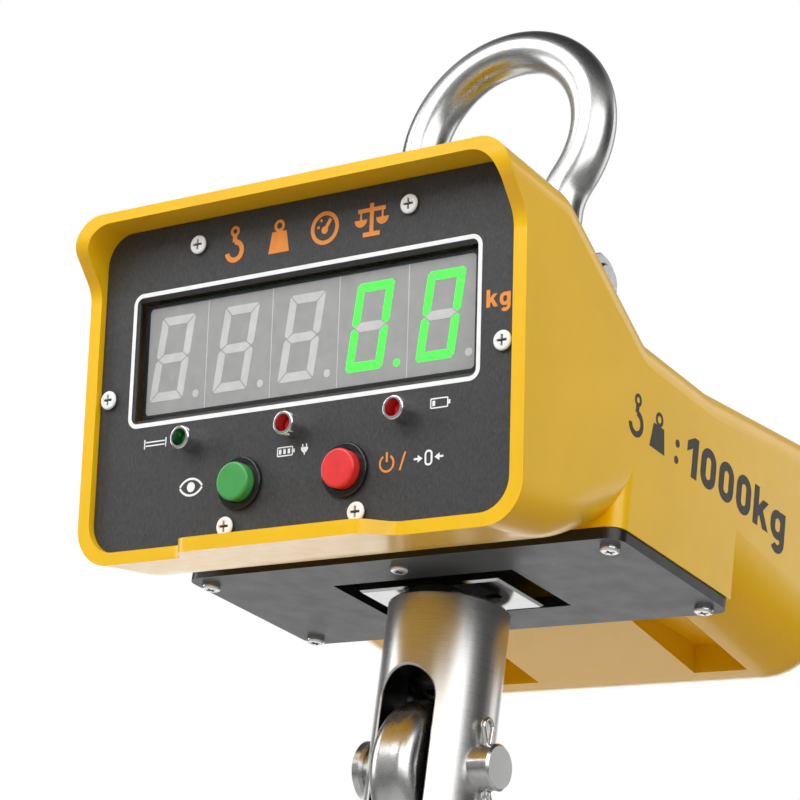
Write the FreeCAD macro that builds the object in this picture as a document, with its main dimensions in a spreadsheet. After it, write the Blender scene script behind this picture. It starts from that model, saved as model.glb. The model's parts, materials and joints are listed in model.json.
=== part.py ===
import FreeCAD, Part
import Sketcher
import math
import os
import re

# Crane scale: a hanging weigher with a bow shackle above, an LED display box in front,
# a battery box behind and a swivelling clevis with a safety hook below.
# Millimetres. +Z is up, +X runs along the display, -Y is the front.
# Heights in the sheet are measured from the lower face of the bottom plate. The origin of the
# model is the suspension point, at the inner top of the bow, suspension_z above that face.

Vector = FreeCAD.Vector
doc = FreeCAD.newDocument("crane_scale")

DIMENSIONS = {
    # overall layout
    "suspension_z": 208.5, "body_x": 90.0, "wall": 4.7,
    # sloped display panel: centre of the display window, tilt, extent up and down from it
    "panel_y": -103.9, "panel_z": 56.1, "tilt": 9.5,
    "open_x": 85.1, "open_low": -67.1, "open_high": 46.5, "open_r": 11.0,
    "rim_low": -71.9, "rim_high": 50.3,
    "rim_depth": 2.4, "hood_depth": 12.9, "lip_depth": 12.7,
    "hood_start": 26.0, "hood_end": 40.0, "hood_blend": 12.0,
    "lip_flat": 36.5, "lip_end": 43.5, "lip_blend": 6.0,
    # side profile of the casting
    "box_top_z": 103.5, "box_back_y": -84.0, "saddle_y": -29.0, "saddle_z": 74.7,
    "rise_y": 16.0, "rear_y": 125.0, "rear_top_z": 88.0,
    "mid_y": 39.0, "mid_back_y": 37.0, "plate_thick": 4.0,
    "sweep_y": -62.0, "sweep_z": -8.0, "sweep_r": 60.0, "sweep_slope": 0.611, "middle_top_z": 60.0,
    "brow_r": 16.0, "valley_r": 7.0, "shoulder_r": 12.0, "chin_r": 14.0,
    "rear_low_y": 50.0, "rear_low_z": 4.0, "rear_low_slope": -0.104, "rear_bottom_r": 24.0,
    "rear_end_r": 21.0,
    "rear_floor_z": 14.0, "rear_joint_y": 10.0, "block_r": 5.0,
    "pocket_width": 22.0, "pocket_mid_x": 54.5, "pocket_mid_left": -35.0, "pocket_front": 46.0,
    "pocket_back": 98.0,
    "pocket_depth": 8.0, "ledge_x": 76.0, "ledge_y": 27.0, "ledge_z": 12.0,
    "neck_open_x": 22.0, "neck_open_y": 19.0,
    # bottom plate and its screws
    "plate_x": 89.5, "plate_y": 39.25, "plate_r": 6.0, "cut_x": 37.4, "cut_y": 19.5,
    "plate_screw_x": 82.8, "plate_screw_y": 31.9, "screw_head_r": 3.4, "screw_head": 2.2,
    "screw_shank_r": 1.7,
    "screw_length": 10.0, "recess_long": 3.8, "recess_wide": 0.9, "recess_deep": 1.0,
    # load cell
    "cell_x": 29.0, "cell_y": 15.0, "cell_low": -1.6, "cell_shoulder": 66.0, "cell_neck_x": 18.0,
    "cell_bar": 16.0, "cell_window_x": 17.5, "cell_window_top": 48.0, "cell_small_r": 2.3,
    "cell_small_x": 18.6,
    "gauge_r": 8.0, "gauge_z": 32.0, "gauge_deep": 2.0,
    # shackle
    "bar_r": 8.5, "bow_r": 38.0, "bow_z": 179.0, "leg_x": 27.5, "neck_r": 24.0,
    "pin_z": 113.5, "lug_r": 15.5, "pin_r": 7.0, "fit": 0.05, "nut_flat": 21.5, "nut_thick": 12.8,
    "pin_head_r": 11.0, "pin_head": 8.0, "pin_end": 51.5,
    # swivel and clevis
    "clevis_r": 21.5, "clevis_top": -4.8, "clevis_low": -88.0, "slot_x": 11.0, "slot_top": -31.5,
    "bore_r": 11.2, "bore_top": -19.4, "bolt_r": 8.0, "bolt_clear": 0.3, "bolt_head_r": 10.6,
    "bolt_head_low": -35.4, "bolt_head_high": -26.5, "race": 2.0, "ball_r": 1.3, "ball_ring_r": 9.4,
    "ball_z": -23.0,
    "bolt_top": 34.0, "swivel_nut_flat": 24.0, "swivel_nut_thick": 13.0, "seal_r": 17.0,
    "hook_pin_z": -62.7, "hook_pin_r": 8.0, "hook_pin_end": 28.6, "hook_head_x": -30.2, "hook_head_r": 11.0,
    "hook_head_thick": 4.6, "cotter_x": 23.3, "cotter_wire_r": 0.95, "cotter_lean": 10.0,
    # hook
    "eye_r": 27.0, "eye_hole_r": 11.0, "eye_half": 8.8, "eye_round": 6.5,
    "latch_y": 7.6, "latch_z": -98.5, "latch_pin_r": 2.0, "latch_ear_r": 4.6, "latch_ear_half": 4.2,
    "latch_side": 1.6, "latch_gap": 0.5, "latch_long": 28.4, "latch_aim": -48.0,
    # display panel pieces
    "panel_thick": 2.0, "window_x": 70.0, "window_low": -21.5, "window_high": 20.6, "glass_thick": 1.2,
    "digit_pitch": 27.7, "digit_wide": 27.4, "digit_low": -20.6, "digit_high": 19.7, "digit_face": -3.7,
    "digit_deep": 11.0, "led_pitch": 43.5, "led_u": -31.2, "led_hole_r": 3.5, "holder_r": 4.0,
    "holder_high": 6.4,
    "led_r": 2.9, "led_top": 3.2, "key_x": 21.4, "key_u": -48.0, "key_r": 6.5, "key_proud": 5.0,
    "bezel_r": 9.0, "bezel_high": 1.5,
    "bezel_hole_r": 6.8, "bezel_neck_r": 7.9, "key_hole_r": 8.0, "face_screw_r": 3.3, "face_screw_high": 1.5,
    "board": 1.6,
    # rear
    "battery_x": 50.5, "battery_front": 46.0, "battery_back": 116.0, "battery_low": 24.0,
    "battery_high": 71.0,
    "door_x": 60.0, "door_low": 24.0, "door_high": 72.0, "cover_x": 66.0, "cover_low": 20.5,
    "cover_high": 75.5,
    "cover_thick": 3.0, "gasket": 1.0, "cover_screw_x": 63.2, "cover_screw_low": 27.0,
    "cover_screw_high": 69.0,
    "socket_y": 60.0, "socket_z": 45.0, "socket_r": 6.0,
}

sheet = doc.addObject("Spreadsheet::Sheet", "dims")
for row, (alias, number) in enumerate(DIMENSIONS.items(), start=1):
    sheet.set("A%d" % row, alias)
    sheet.set("B%d" % row, str(number))
    sheet.setAlias("B%d" % row, alias)
doc.recompute()

ALIAS = re.compile(r"\b[a-z][a-z0-9_]*\b")
TILT_TURN = FreeCAD.Rotation(Vector(1, 0, 0), 90 + DIMENSIONS["tilt"])
AXIS_TURN = {
    "x": FreeCAD.Rotation(Vector(0, 1, 0), 90),
    "y": FreeCAD.Rotation(Vector(1, 0, 0), -90),
    "z": FreeCAD.Rotation(),
}
SIDE_TURN = FreeCAD.Rotation(Vector(0, 1, 0), Vector(0, 0, 1), Vector(1, 0, 0), "ZXY")
PARTS = []


# ---- expressions and placing ----

def formula(text):
    """An expression on the sheet, from words such as plate_x / 2."""
    return ALIAS.sub(lambda word: "dims." + word.group() if word.group() in DIMENSIONS else word.group(),
                     str(text))


def size(text):
    """The number that a formula has now."""
    found = sheet.evalExpression(formula(text))
    return float(getattr(found, "Value", found))


def bind(obj, **values):
    for name, text in values.items():
        obj.setExpression(name, formula(text))


def place(obj, x, y, z, turn=FreeCAD.Rotation(), frame="body"):
    """Binds the place of obj in one of three frames, and turns it there.

    body: heights above the bottom plate. panel: x across, u up the slope, w out of the face.
    local: the piece's own frame, before the piece that it belongs to is placed.
    """
    if frame == "panel":
        u, w = y, z
        y = "panel_y - (%s) * sin(tilt * 1deg) - (%s) * cos(tilt * 1deg)" % (u, w)
        z = "panel_z + (%s) * cos(tilt * 1deg) - (%s) * sin(tilt * 1deg)" % (u, w)
        turn = TILT_TURN.multiply(turn)
    if frame != "local":
        z = "(%s) - suspension_z" % z
    obj.Placement = FreeCAD.Placement(Vector(), turn)
    bind(obj, **{"Placement.Base.x": x, "Placement.Base.y": y, "Placement.Base.z": z})
    return obj


def keep(obj, label):
    """Names obj as a sub-part."""
    obj.Label = label
    PARTS.append(obj)
    return obj


# ---- primitives and booleans ----

def box(name, x, y, z, frame="body"):
    """A box between pairs of formulas. One formula alone means from minus it to plus it."""
    obj = doc.addObject("Part::Box", name)
    spans = [pair if isinstance(pair, tuple) else ("-(%s)" % pair, pair) for pair in (x, y, z)]
    lengths = ["(%s) - (%s)" % (high, low) for low, high in spans]
    bind(obj, Length=lengths[0], Width=lengths[1], Height=lengths[2])
    return place(obj, *(low for low, high in spans), frame=frame)


def cylinder(name, radius, length, at, axis="z", frame="body"):
    obj = doc.addObject("Part::Cylinder", name)
    bind(obj, Radius=radius, Height=length)
    return place(obj, *at, AXIS_TURN[axis], frame)


def tube(name, outer, inner, length, at, axis="z", frame="body"):
    return cut(name, cylinder(name + "_outer", outer, length, at, axis, frame),
               cylinder(name + "_inner", inner, length, at, axis, frame))


def hexagon(name, across_flats, length, at, axis="z"):
    obj = doc.addObject("Part::Prism", name)
    obj.Polygon = 6
    bind(obj, Circumradius="(%s) / sqrt(3)" % across_flats, Height=length)
    return place(obj, *at, AXIS_TURN[axis])


def fuse(name, *shapes):
    obj = doc.addObject("Part::MultiFuse", name)
    obj.Shapes = list(shapes)
    obj.Refine = True
    return obj


def group(name, shapes):
    """Identical loose pieces that share one sub-part as separate solids."""
    obj = doc.addObject("Part::Compound", name)
    obj.Links = list(shapes)
    return obj


def cut(name, base, *tools):
    obj = doc.addObject("Part::Cut", name)
    obj.Base = base
    obj.Tool = tools[0] if len(tools) == 1 else fuse(name + "_tools", *tools)
    obj.Refine = True
    return obj


def common(name, *shapes):
    obj = doc.addObject("Part::MultiCommon", name)
    obj.Shapes = list(shapes)
    return obj


def edges_where(obj, test):
    """The edges of obj whose middle point, height above the plate and direction pass the test."""
    doc.recompute()
    found = []
    for index, edge in enumerate(obj.Shape.Edges, start=1):
        middle = edge.valueAt((edge.FirstParameter + edge.LastParameter) / 2)
        ends = [vertex.Point for vertex in edge.Vertexes]
        span = ends[-1] - ends[0]
        along = span.normalize() if span.Length > 0.001 else Vector()
        if test(middle, middle.z + size("suspension_z"), along, edge):
            found.append(index)
    if not found:
        raise RuntimeError("no edge found on " + obj.Name)
    return found


def soften(name, base, radius, test, kind="Fillet"):
    """Rounds or chamfers the edges of base that pass the test."""
    numbers = edges_where(base, test)
    obj = doc.addObject("Part::" + kind, name)
    obj.Base = base
    obj.Edges = [(number, size(radius), size(radius)) for number in numbers]
    return obj


X_AXIS, Y_AXIS, Z_AXIS = Vector(1, 0, 0), Vector(0, 1, 0), Vector(0, 0, 1)
PANEL_NORMAL = TILT_TURN.multVec(Z_AXIS)


def parallel(along, axis):
    return abs(along.dot(axis)) > 0.999


def circle_edge(edge, radius=None):
    curve = edge.Curve
    return isinstance(curve, Part.Circle) and (radius is None or abs(curve.Radius - size(radius)) < 0.01)


def outline(name, points):
    """A closed sketch whose corners are bound to pairs of formulas."""
    sketch = doc.addObject("Sketcher::SketchObject", name)
    corners = [Vector(size(a), size(b), 0) for a, b in points]
    for start, end in zip(corners, corners[1:] + corners[:1]):
        sketch.addGeometry(Part.LineSegment(start, end), False)
    count = len(corners)
    for index in range(count):
        sketch.addConstraint(Sketcher.Constraint("Coincident", index, 2, (index + 1) % count, 1))
    for index, (corner, (a, b)) in enumerate(zip(corners, points)):
        for kind, number, text in (("DistanceX", corner.x, a), ("DistanceY", corner.y, b)):
            where = sketch.addConstraint(Sketcher.Constraint(kind, -1, 1, index, 1, number))
            sketch.setExpression("Constraints[%d]" % where, formula(text))
    return sketch


def prism(name, points, low, high, turn=None, frame="body"):
    """An outline pushed through a span. It draws y, z and pushes along x unless a turn is given."""
    sketch = outline(name + "_outline", points)
    if frame == "body":
        place(sketch, low, "0", "0", turn or SIDE_TURN)
    else:
        place(sketch, "0" if turn is None else low, "0", "0" if turn else low, turn or FreeCAD.Rotation(),
              frame)
    obj = doc.addObject("Part::Extrusion", name)
    obj.Base = sketch
    obj.DirMode = "Normal"
    obj.Solid = True
    bind(obj, LengthFwd="(%s) - (%s)" % (high, low))
    return obj


def rounded_plate(name, x, y, z, radius, frame="panel", normal=PANEL_NORMAL):
    """A flat plate with four rounded corners."""
    plate = box(name + "_blank", x, y, z, frame)
    return soften(name, plate, radius, lambda middle, height, along, edge: parallel(along, normal))


def cross_screw(name, head_r, head, shank_r, length, at, turn=FreeCAD.Rotation(), frame="body"):
    """A cross-recess pan-head screw. Its head stands on the face at `at`, along its own +Z."""
    top = cylinder(name + "_head", head_r, head, ("0", "0", "0"), frame="local")
    dome = soften(name + "_dome", top, "(%s) * 0.45" % head,
                  lambda middle, height, along, edge: circle_edge(edge) and middle.z > size(head) / 2)
    shank = cylinder(name + "_shank", shank_r, length, ("0", "0", "-(%s)" % length), frame="local")
    arms = [box(name + "_arm%d" % index, "%s / 2" % across, "%s / 2" % other,
                ("%s - recess_deep" % head, "%s + 1" % head), "local")
            for index, (across, other) in enumerate((("recess_long", "recess_wide"),
                                                     ("recess_wide", "recess_long")))]
    return place(cut(name, fuse(name + "_solid", dome, shank), *arms), *at, turn, frame)


# ---- casting ----

def top_line(y):
    """Height of the long rising top behind the saddle, at y."""
    return "saddle_z + (rear_top_z - saddle_z) * ((%s) - rise_y) / (rear_y - rise_y)" % y


def rear_underside(y):
    return "rear_low_z + rear_low_slope * ((%s) - rear_low_y)" % y


def panel_point(u, w):
    return ("panel_y - (%s) * sin(tilt * 1deg) - (%s) * cos(tilt * 1deg)" % (u, w),
            "panel_z + (%s) * cos(tilt * 1deg) - (%s) * sin(tilt * 1deg)" % (u, w))


def under_sweep(y):
    """Height of the display box's underside, behind the bend in it."""
    return "sweep_z + (%s - sweep_y) * sweep_slope" % y


def casting_box():
    """Display box and the front of the saddle, from the side profile, with its chin rounded."""
    points = [
        panel_point("rim_low", "hood_depth"), ("sweep_y", "sweep_z"), ("rise_y", under_sweep("rise_y")),
        ("rise_y", "saddle_z"), ("saddle_y", "saddle_z"), ("box_back_y", "box_top_z"),
        (panel_point("rim_high", "hood_depth")[0], "box_top_z"),
    ]
    solid = prism("display_block", points, "-body_x", "body_x")
    side = size("body_x") - 0.1
    for name, radius, y, z in (("sweep", "sweep_r", "sweep_y", "sweep_z"),
                               ("brow", "brow_r", "box_back_y", "box_top_z"),
                               ("valley", "valley_r", "saddle_y", "saddle_z")):
        spot = (size(y), size(z))
        solid = soften("display_" + name, solid, radius, lambda middle, height, along, edge, spot=spot:
                       parallel(along, X_AXIS) and math.hypot(middle.y - spot[0], height - spot[1]) < 0.1)
    return soften("display_chin", solid, "chin_r", lambda middle, height, along, edge:
                  abs(middle.x) > side and height < 35 and middle.y > -110 and middle.y < size("rise_y") - 0.1
                  and along.dot(PANEL_NORMAL) ** 2 + along.z ** 2 > 0.05 and not face_edge(middle, height))


def face_edge(middle, height):
    """Whether a point lies on the front end of the rim."""
    offset = Vector(0, middle.y - size("panel_y"), height - size("panel_z"))
    return offset.dot(PANEL_NORMAL) > size("hood_depth") - 0.1


def casting_middle():
    """Block over the bottom plate."""
    solid = box("middle_block", "body_x", ("-mid_y", "mid_back_y"), ("plate_thick", "middle_top_z"))
    return soften("middle_corners", solid, "block_r", lambda middle, height, along, edge:
                  parallel(along, Z_AXIS) and middle.y < 0)


def casting_rear():
    """Battery box behind the middle block, with its large lower roundings."""
    front, back = "rear_joint_y", "rear_y"
    points = [(front, rear_underside(front)), (back, rear_underside(back)), (back, top_line(back)),
              (front, top_line(front))]
    solid = prism("rear_block", points, "-body_x", "body_x")
    middle_y = size("(rear_joint_y + rear_y) / 2")

    def lower_side(middle, height, along, edge):
        return abs(middle.y - middle_y) < 1 and height < 20 and not parallel(along, X_AXIS)
    solid = soften("rear_belly", solid, "rear_bottom_r", lower_side)
    solid = soften("rear_heel", solid, "rear_end_r", lambda middle, height, along, edge:
                   middle.y > size("rear_y") - 0.1 and height < 30 and abs(middle.x) < 5)
    return solid


def rim_cutter_sides():
    """Air in front of the rim's sides: shallow below, rising in an S to the hood."""
    points = [("open_low - 0.01", "rim_depth"), ("hood_start", "rim_depth"), ("hood_end", "hood_depth"),
              ("rim_high + 9", "hood_depth"), ("rim_high + 9", "hood_depth + 30"),
              ("open_low - 0.01", "hood_depth + 30")]
    return s_shaped("rim_side_air", points, "-body_x - 5", "body_x + 5", "side", "hood_blend")


def rim_cutter_lip():
    """Air in front of the lower rim, on both sides of the central lip."""
    deep = "hood_depth + 30"
    points = [("-body_x - 5", "rim_depth"), ("-lip_end", "rim_depth"), ("-lip_flat", "lip_depth"),
              ("lip_flat", "lip_depth"), ("lip_end", "rim_depth"), ("body_x + 5", "rim_depth"),
              ("body_x + 5", deep), ("-body_x - 5", deep)]
    return s_shaped("rim_lip_air", points, "rim_low - 9", "open_low", "lip", "lip_blend")


def s_shaped(name, points, low, high, kind, radius):
    """A prism drawn over the panel's depth whose two-bend steps are blended into S curves."""
    if kind == "side":
        turn = FreeCAD.Rotation(Vector(0, 1, 0), Vector(0, 0, 1), Vector(1, 0, 0), "ZXY")
        axis = X_AXIS
        sketch = place(outline(name + "_outline", points), low, "0", "0", turn, "panel")
    else:
        turn = FreeCAD.Rotation(Vector(1, 0, 0), Vector(0, 0, 1), Vector(0, -1, 0), "ZXY")
        axis = TILT_TURN.multVec(Y_AXIS)
        sketch = place(outline(name + "_outline", points), "0", high, "0", turn, "panel")
    solid = doc.addObject("Part::Extrusion", name)
    solid.Base = sketch
    solid.DirMode = "Normal"
    solid.Solid = True
    bind(solid, LengthFwd="(%s) - (%s)" % (high, low))
    origin = Vector(0, size("panel_y"), size("panel_z - suspension_z"))
    bends = [(size(a), size(b)) for a, b in points if b in ("rim_depth", "hood_depth", "lip_depth")][1:-1]

    def bend_edge(middle, height, along, edge):
        offset = middle - origin
        across = offset.dot(TILT_TURN.multVec(Y_AXIS)) if kind == "side" else offset.x
        depth = offset.dot(PANEL_NORMAL)
        return parallel(along, axis) and any(math.hypot(across - a, depth - b) < 0.1 for a, b in bends)
    return soften(name + "_blend", solid, radius, bend_edge)


def casting_hollow():
    """Everything that the casting is hollow of."""
    inner = "body_x - wall"
    mouth = rounded_plate("mouth", "open_x", ("open_low", "open_high"), ("-panel_thick - 0.1", "30"),
                          "open_r")
    ledge = rounded_plate("mouth_ledge", "open_x - 2.3", ("open_low + 3", "open_high - 4"), ("-11", "0"),
                          "open_r - 3")
    box_room = prism("box_room", [
        panel_point("open_low + 2", "-8"), ("sweep_y - 4", "sweep_z + 5.5"), ("-50", "5.2"),
        ("4.5 - mid_y", under_sweep("4.5 - mid_y") + " + 5.6"),
        ("4.5 - mid_y", "ledge_z"), ("32.5", "ledge_z"), ("32.5", "70"), ("-31", "70.2"), ("-86", "98.8"),
        panel_point("open_high - 6", "-8")], "-(%s)" % inner, inner)
    rear_room = prism("rear_room_blank", [
        ("30", "rear_floor_z"), ("rear_y - 4.5", "rear_floor_z"),
        ("rear_y - 4.5", top_line("rear_y") + " - wall"),
        ("30", top_line("30") + " - wall")], "-(%s)" % inner, inner)
    rear_room = soften("rear_room_floor", rear_room, "16", lambda middle, height, along, edge:
                       not parallel(along, X_AXIS) and height < 15)
    rear_room = soften("rear_room", rear_room, "16", lambda middle, height, along, edge:
                       middle.y > 120 and height < 40 and abs(middle.x) < 5)
    floor_gap = box("floor_gap", "ledge_x", "ledge_y", ("0", "ledge_z + 1"))
    neck_gap = box("neck_gap", "neck_open_x", "neck_open_y", ("60", "90"))
    door_gap = box("door_gap", "door_x", ("rear_y - 10", "rear_y + 10"), ("door_low", "door_high"))
    socket_gap = cylinder("socket_gap", "socket_r", "30", ("-body_x - 5", "socket_y", "socket_z"), "x")
    pockets = [box("pocket%d" % index, ("%s - pocket_width / 2" % mid, "%s + pocket_width / 2" % mid),
                   ("pocket_front", "pocket_back"),
                   ("-30", rear_underside("(pocket_front + pocket_back) / 2") + " + pocket_depth"))
               for index, mid in enumerate(("pocket_mid_x", "pocket_mid_left"))]
    plate_holes = [cylinder("plate_thread%d" % index, "screw_shank_r + 0.05", "12", (x, y, "0"))
                   for index, (x, y) in enumerate(PLATE_SCREWS)]
    cover_holes = [cylinder("cover_thread%d" % index, "screw_shank_r + 0.05", "12", (x, "rear_y - 8", z), "y")
                   for index, (x, z) in enumerate(COVER_SCREWS)]
    gaps = [floor_gap, neck_gap, door_gap, socket_gap] + pockets + plate_holes + cover_holes
    return [mouth, ledge, box_room, rear_room, fuse("casting_gaps", *gaps)]


PLATE_SCREWS = [(x, y) for x in ("-plate_screw_x", "0", "plate_screw_x") for y in ("-plate_screw_y",
                                                                                   "plate_screw_y")]
COVER_SCREWS = [(x, z) for x in ("-cover_screw_x", "cover_screw_x") for z in ("cover_screw_low",
                                                                              "cover_screw_high")]


def main_housing():
    solid = fuse("casting_blocks", casting_box(), casting_middle(), casting_rear())
    side = size("body_x") - 0.1
    solid = soften("casting_shoulders", solid, "shoulder_r", lambda middle, height, along, edge:
                   abs(middle.x) > side and height > 70 and not parallel(along, Z_AXIS)
                   and middle.y < size("rear_y") - 0.1 and not face_edge(middle, height))
    solid = cut("casting_rim", solid, rim_cutter_sides(), rim_cutter_lip())
    for index, hollow in enumerate(casting_hollow()):
        solid = cut("casting_hollow%d" % index, solid, hollow)
    return keep(solid, "main_housing")


main_housing()


# ---- shackle ----

def bow_path():
    """Centre line of the bow in the XZ plane: leg, concave neck, round bow, neck, leg."""
    bow, leg, neck = size("bow_r"), size("leg_x"), size("neck_r")
    top = size("bow_z - suspension_z")
    drop = math.sqrt((bow + neck) ** 2 - (leg + neck) ** 2)
    low = size("pin_z - suspension_z")
    turn = math.atan2(drop, leg + neck)
    meet = Vector(bow * math.cos(turn), 0, top - bow * math.sin(turn))
    bend = turn / 2
    middle = Vector(leg + neck - neck * math.cos(bend), 0, top - drop + neck * math.sin(bend))
    side = Vector(leg, 0, top - drop)
    foot = Vector(leg, 0, low)

    def flip(point):
        return Vector(-point.x, point.y, point.z)
    edges = [Part.LineSegment(foot, side), Part.Arc(side, middle, meet),
             Part.Arc(meet, Vector(0, 0, top + bow), flip(meet)),
             Part.Arc(flip(meet), flip(middle), flip(side)), Part.LineSegment(flip(side), flip(foot))]
    return Part.Wire([edge.toShape() for edge in edges])


def shackle_bow():
    """A round bar swept along the bow's centre line, with a cross-drilled lug on each leg."""
    spine = doc.addObject("Part::Feature", "bow_spine")
    spine.Shape = bow_path()
    ring = doc.addObject("Part::Circle", "bow_section")
    bind(ring, Radius="bar_r")
    place(ring, "leg_x", "0", "pin_z")
    bar = doc.addObject("Part::Sweep", "bow_bar")
    bar.Sections = [ring]
    bar.Spine = (spine, ["Edge%d" % number for number in range(1, 6)])
    bar.Solid = True
    lugs = []
    for name, low in (("left", "-leg_x - bar_r"), ("right", "leg_x - bar_r")):
        lug = cylinder("lug_" + name, "lug_r", "2 * bar_r", (low, "0", "pin_z"), "x")
        lugs.append(soften("lug_%s_rounded" % name, lug, "2.2",
                           lambda middle, height, along, edge: circle_edge(edge, "lug_r")))
    bore = cylinder("lug_bore", "pin_r + fit", "100", ("-50", "0", "pin_z"), "x")
    return keep(cut("shackle_bow", fuse("bow_solid", bar, *lugs), bore), "shackle_bow")


def shackle_pin():
    face = "leg_x + bar_r"
    shank = cylinder("shackle_shank", "pin_r", "pin_end + %s" % face, ("-(%s)" % face, "0", "pin_z"), "x")
    tip = soften("shackle_tip", shank, "1", lambda middle, height, along,
                 edge: circle_edge(edge) and middle.x > 0, "Chamfer")
    head = cylinder("shackle_head", "pin_head_r", "pin_head", ("-(%s) - pin_head" % face, "0", "pin_z"), "x")
    head = soften("shackle_head_edge", head, "1.2", lambda middle, height, along, edge: circle_edge(edge),
                  "Chamfer")
    keep(fuse("shackle_pin", tip, head), "shackle_pin")
    nut = hexagon("nut_blank", "nut_flat", "nut_thick", (face, "0", "pin_z"), "x")
    ball = cylinder("nut_round", "nut_flat / 2 + 0.9", "nut_thick", (face, "0", "pin_z"), "x")
    ball = soften("nut_corner_cut", ball, "1.2", lambda middle, height, along, edge: circle_edge(edge),
                  "Chamfer")
    bore = cylinder("nut_bore", "pin_r", "nut_thick", (face, "0", "pin_z"), "x")
    keep(cut("shackle_nut", common("nut_body", nut, ball), bore), "shackle_nut")
    washers = [tube("pin_spacer_" + name, "pin_r + 5", "pin_r + fit", "leg_x - bar_r - cell_neck_x - 0.2",
                    (low, "0", "pin_z"), "x")
               for name, low in (("left", "-leg_x + bar_r + 0.1"), ("right", "cell_neck_x + 0.1"))]
    keep(group("pin_spacers", washers), "pin_spacers")


# ---- load path ----

def load_cell():
    """A window-frame beam: lower bar for the swivel bolt, strained side pillars, upper lug."""
    body = box("cell_body", "cell_x", "cell_y", ("cell_low", "cell_shoulder"))
    body = soften("cell_body_edges", body, "0.8", lambda middle, height, along, edge: height < 0, "Chamfer")
    neck = box("cell_neck", "cell_neck_x", "cell_y", ("cell_shoulder", "pin_z"))
    lug = cylinder("cell_lug", "cell_y", "2 * cell_neck_x", ("-cell_neck_x", "0", "pin_z"), "x")
    window = box("cell_window", "cell_window_x", "cell_y + 1", ("cell_bar", "cell_window_top"))
    window = soften("cell_window_round", window, "4", lambda middle, height, along, edge:
                    parallel(along, Y_AXIS) and height > 20)
    tools = [window, cylinder("cell_pin_bore", "pin_r + fit", "60", ("-30", "0", "pin_z"), "x"),
             cylinder("cell_bolt_bore", "bolt_r", "30", ("0", "0", "-10"))]
    tools += [cylinder("cell_small_hole%d" % index, "cell_small_r", "8", (x, "0", "cell_low - 1"))
              for index, x in enumerate(("-cell_small_x", "cell_small_x"))]
    tools += [cylinder("gauge_pocket%d" % index, "gauge_r", "gauge_deep + 1", (x, "0", "gauge_z"), "x")
              for index, x in enumerate(("-cell_x - 1", "cell_x - gauge_deep"))]
    keep(cut("load_cell", fuse("cell_solid", body, neck, lug), *tools), "load_cell")
    covers = [cylinder("gauge_cover%d" % index, "gauge_r", "gauge_deep - 0.4", (x, "0", "gauge_z"), "x")
              for index, x in enumerate(("-cell_x + 0.4", "cell_x - gauge_deep"))]
    keep(group("gauge_covers", covers), "gauge_covers")


def cell_brackets():
    """Two angles that carry the casting on the load cell's sides, and their screws."""
    brackets, screws = [], []
    for name, side in (("left", -1), ("right", 1)):
        inner, upright, outer = "cell_x", "cell_x + 3", "cell_x + 22"
        span = (lambda low, high: (low, high) if side > 0 else ("-(%s)" % high, "-(%s)" % low))
        foot_z = ("ledge_z + 1.6", "ledge_z + 4.6")
        rise = box("bracket_rise_" + name, span(inner, upright), "12",
                   ("ledge_z + 1.6", "gauge_z - gauge_r - 1"))
        foot = box("bracket_foot_" + name, span(inner, outer), "12", foot_z)
        rail = box("bracket_rail_" + name, span("cell_x + 12", outer), "32", ("ledge_z", "ledge_z + 1.6"))
        brackets.append(fuse("cell_bracket_" + name, rise, foot, rail))
        for index, y in enumerate(("-27", "27")):
            x = "%s(cell_x + 17)" % ("-" if side < 0 else "")
            screws.append(cylinder("bracket_screw_%s%d" % (name, index), "3.4", "2.6",
                                   (x, y, "ledge_z + 1.6")))
    keep(group("cell_brackets", brackets), "cell_brackets")
    keep(group("bracket_screws", screws), "bracket_screws")


def neck_seal():
    """Rubber collar between the casting's roof and the load cell's neck."""
    inside = box("seal_inside", "neck_open_x - 0.1", "neck_open_y - 0.1",
                 ("saddle_z - 3.5", "saddle_z + 0.5"))
    flange = box("seal_flange", "neck_open_x + 3.5", "neck_open_y + 3.5",
                 ("saddle_z + 0.3", "saddle_z + 2.2"))
    flange = cut("seal_flange_trim", flange, box("seal_slope", "40", ("rise_y - 1", "60"), ("70", "90")))
    hole = box("seal_hole", "cell_neck_x + 0.1", "cell_y + 0.1", ("50", "100"))
    keep(cut("neck_seal", fuse("seal_solid", inside, flange), hole), "neck_seal")


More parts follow.
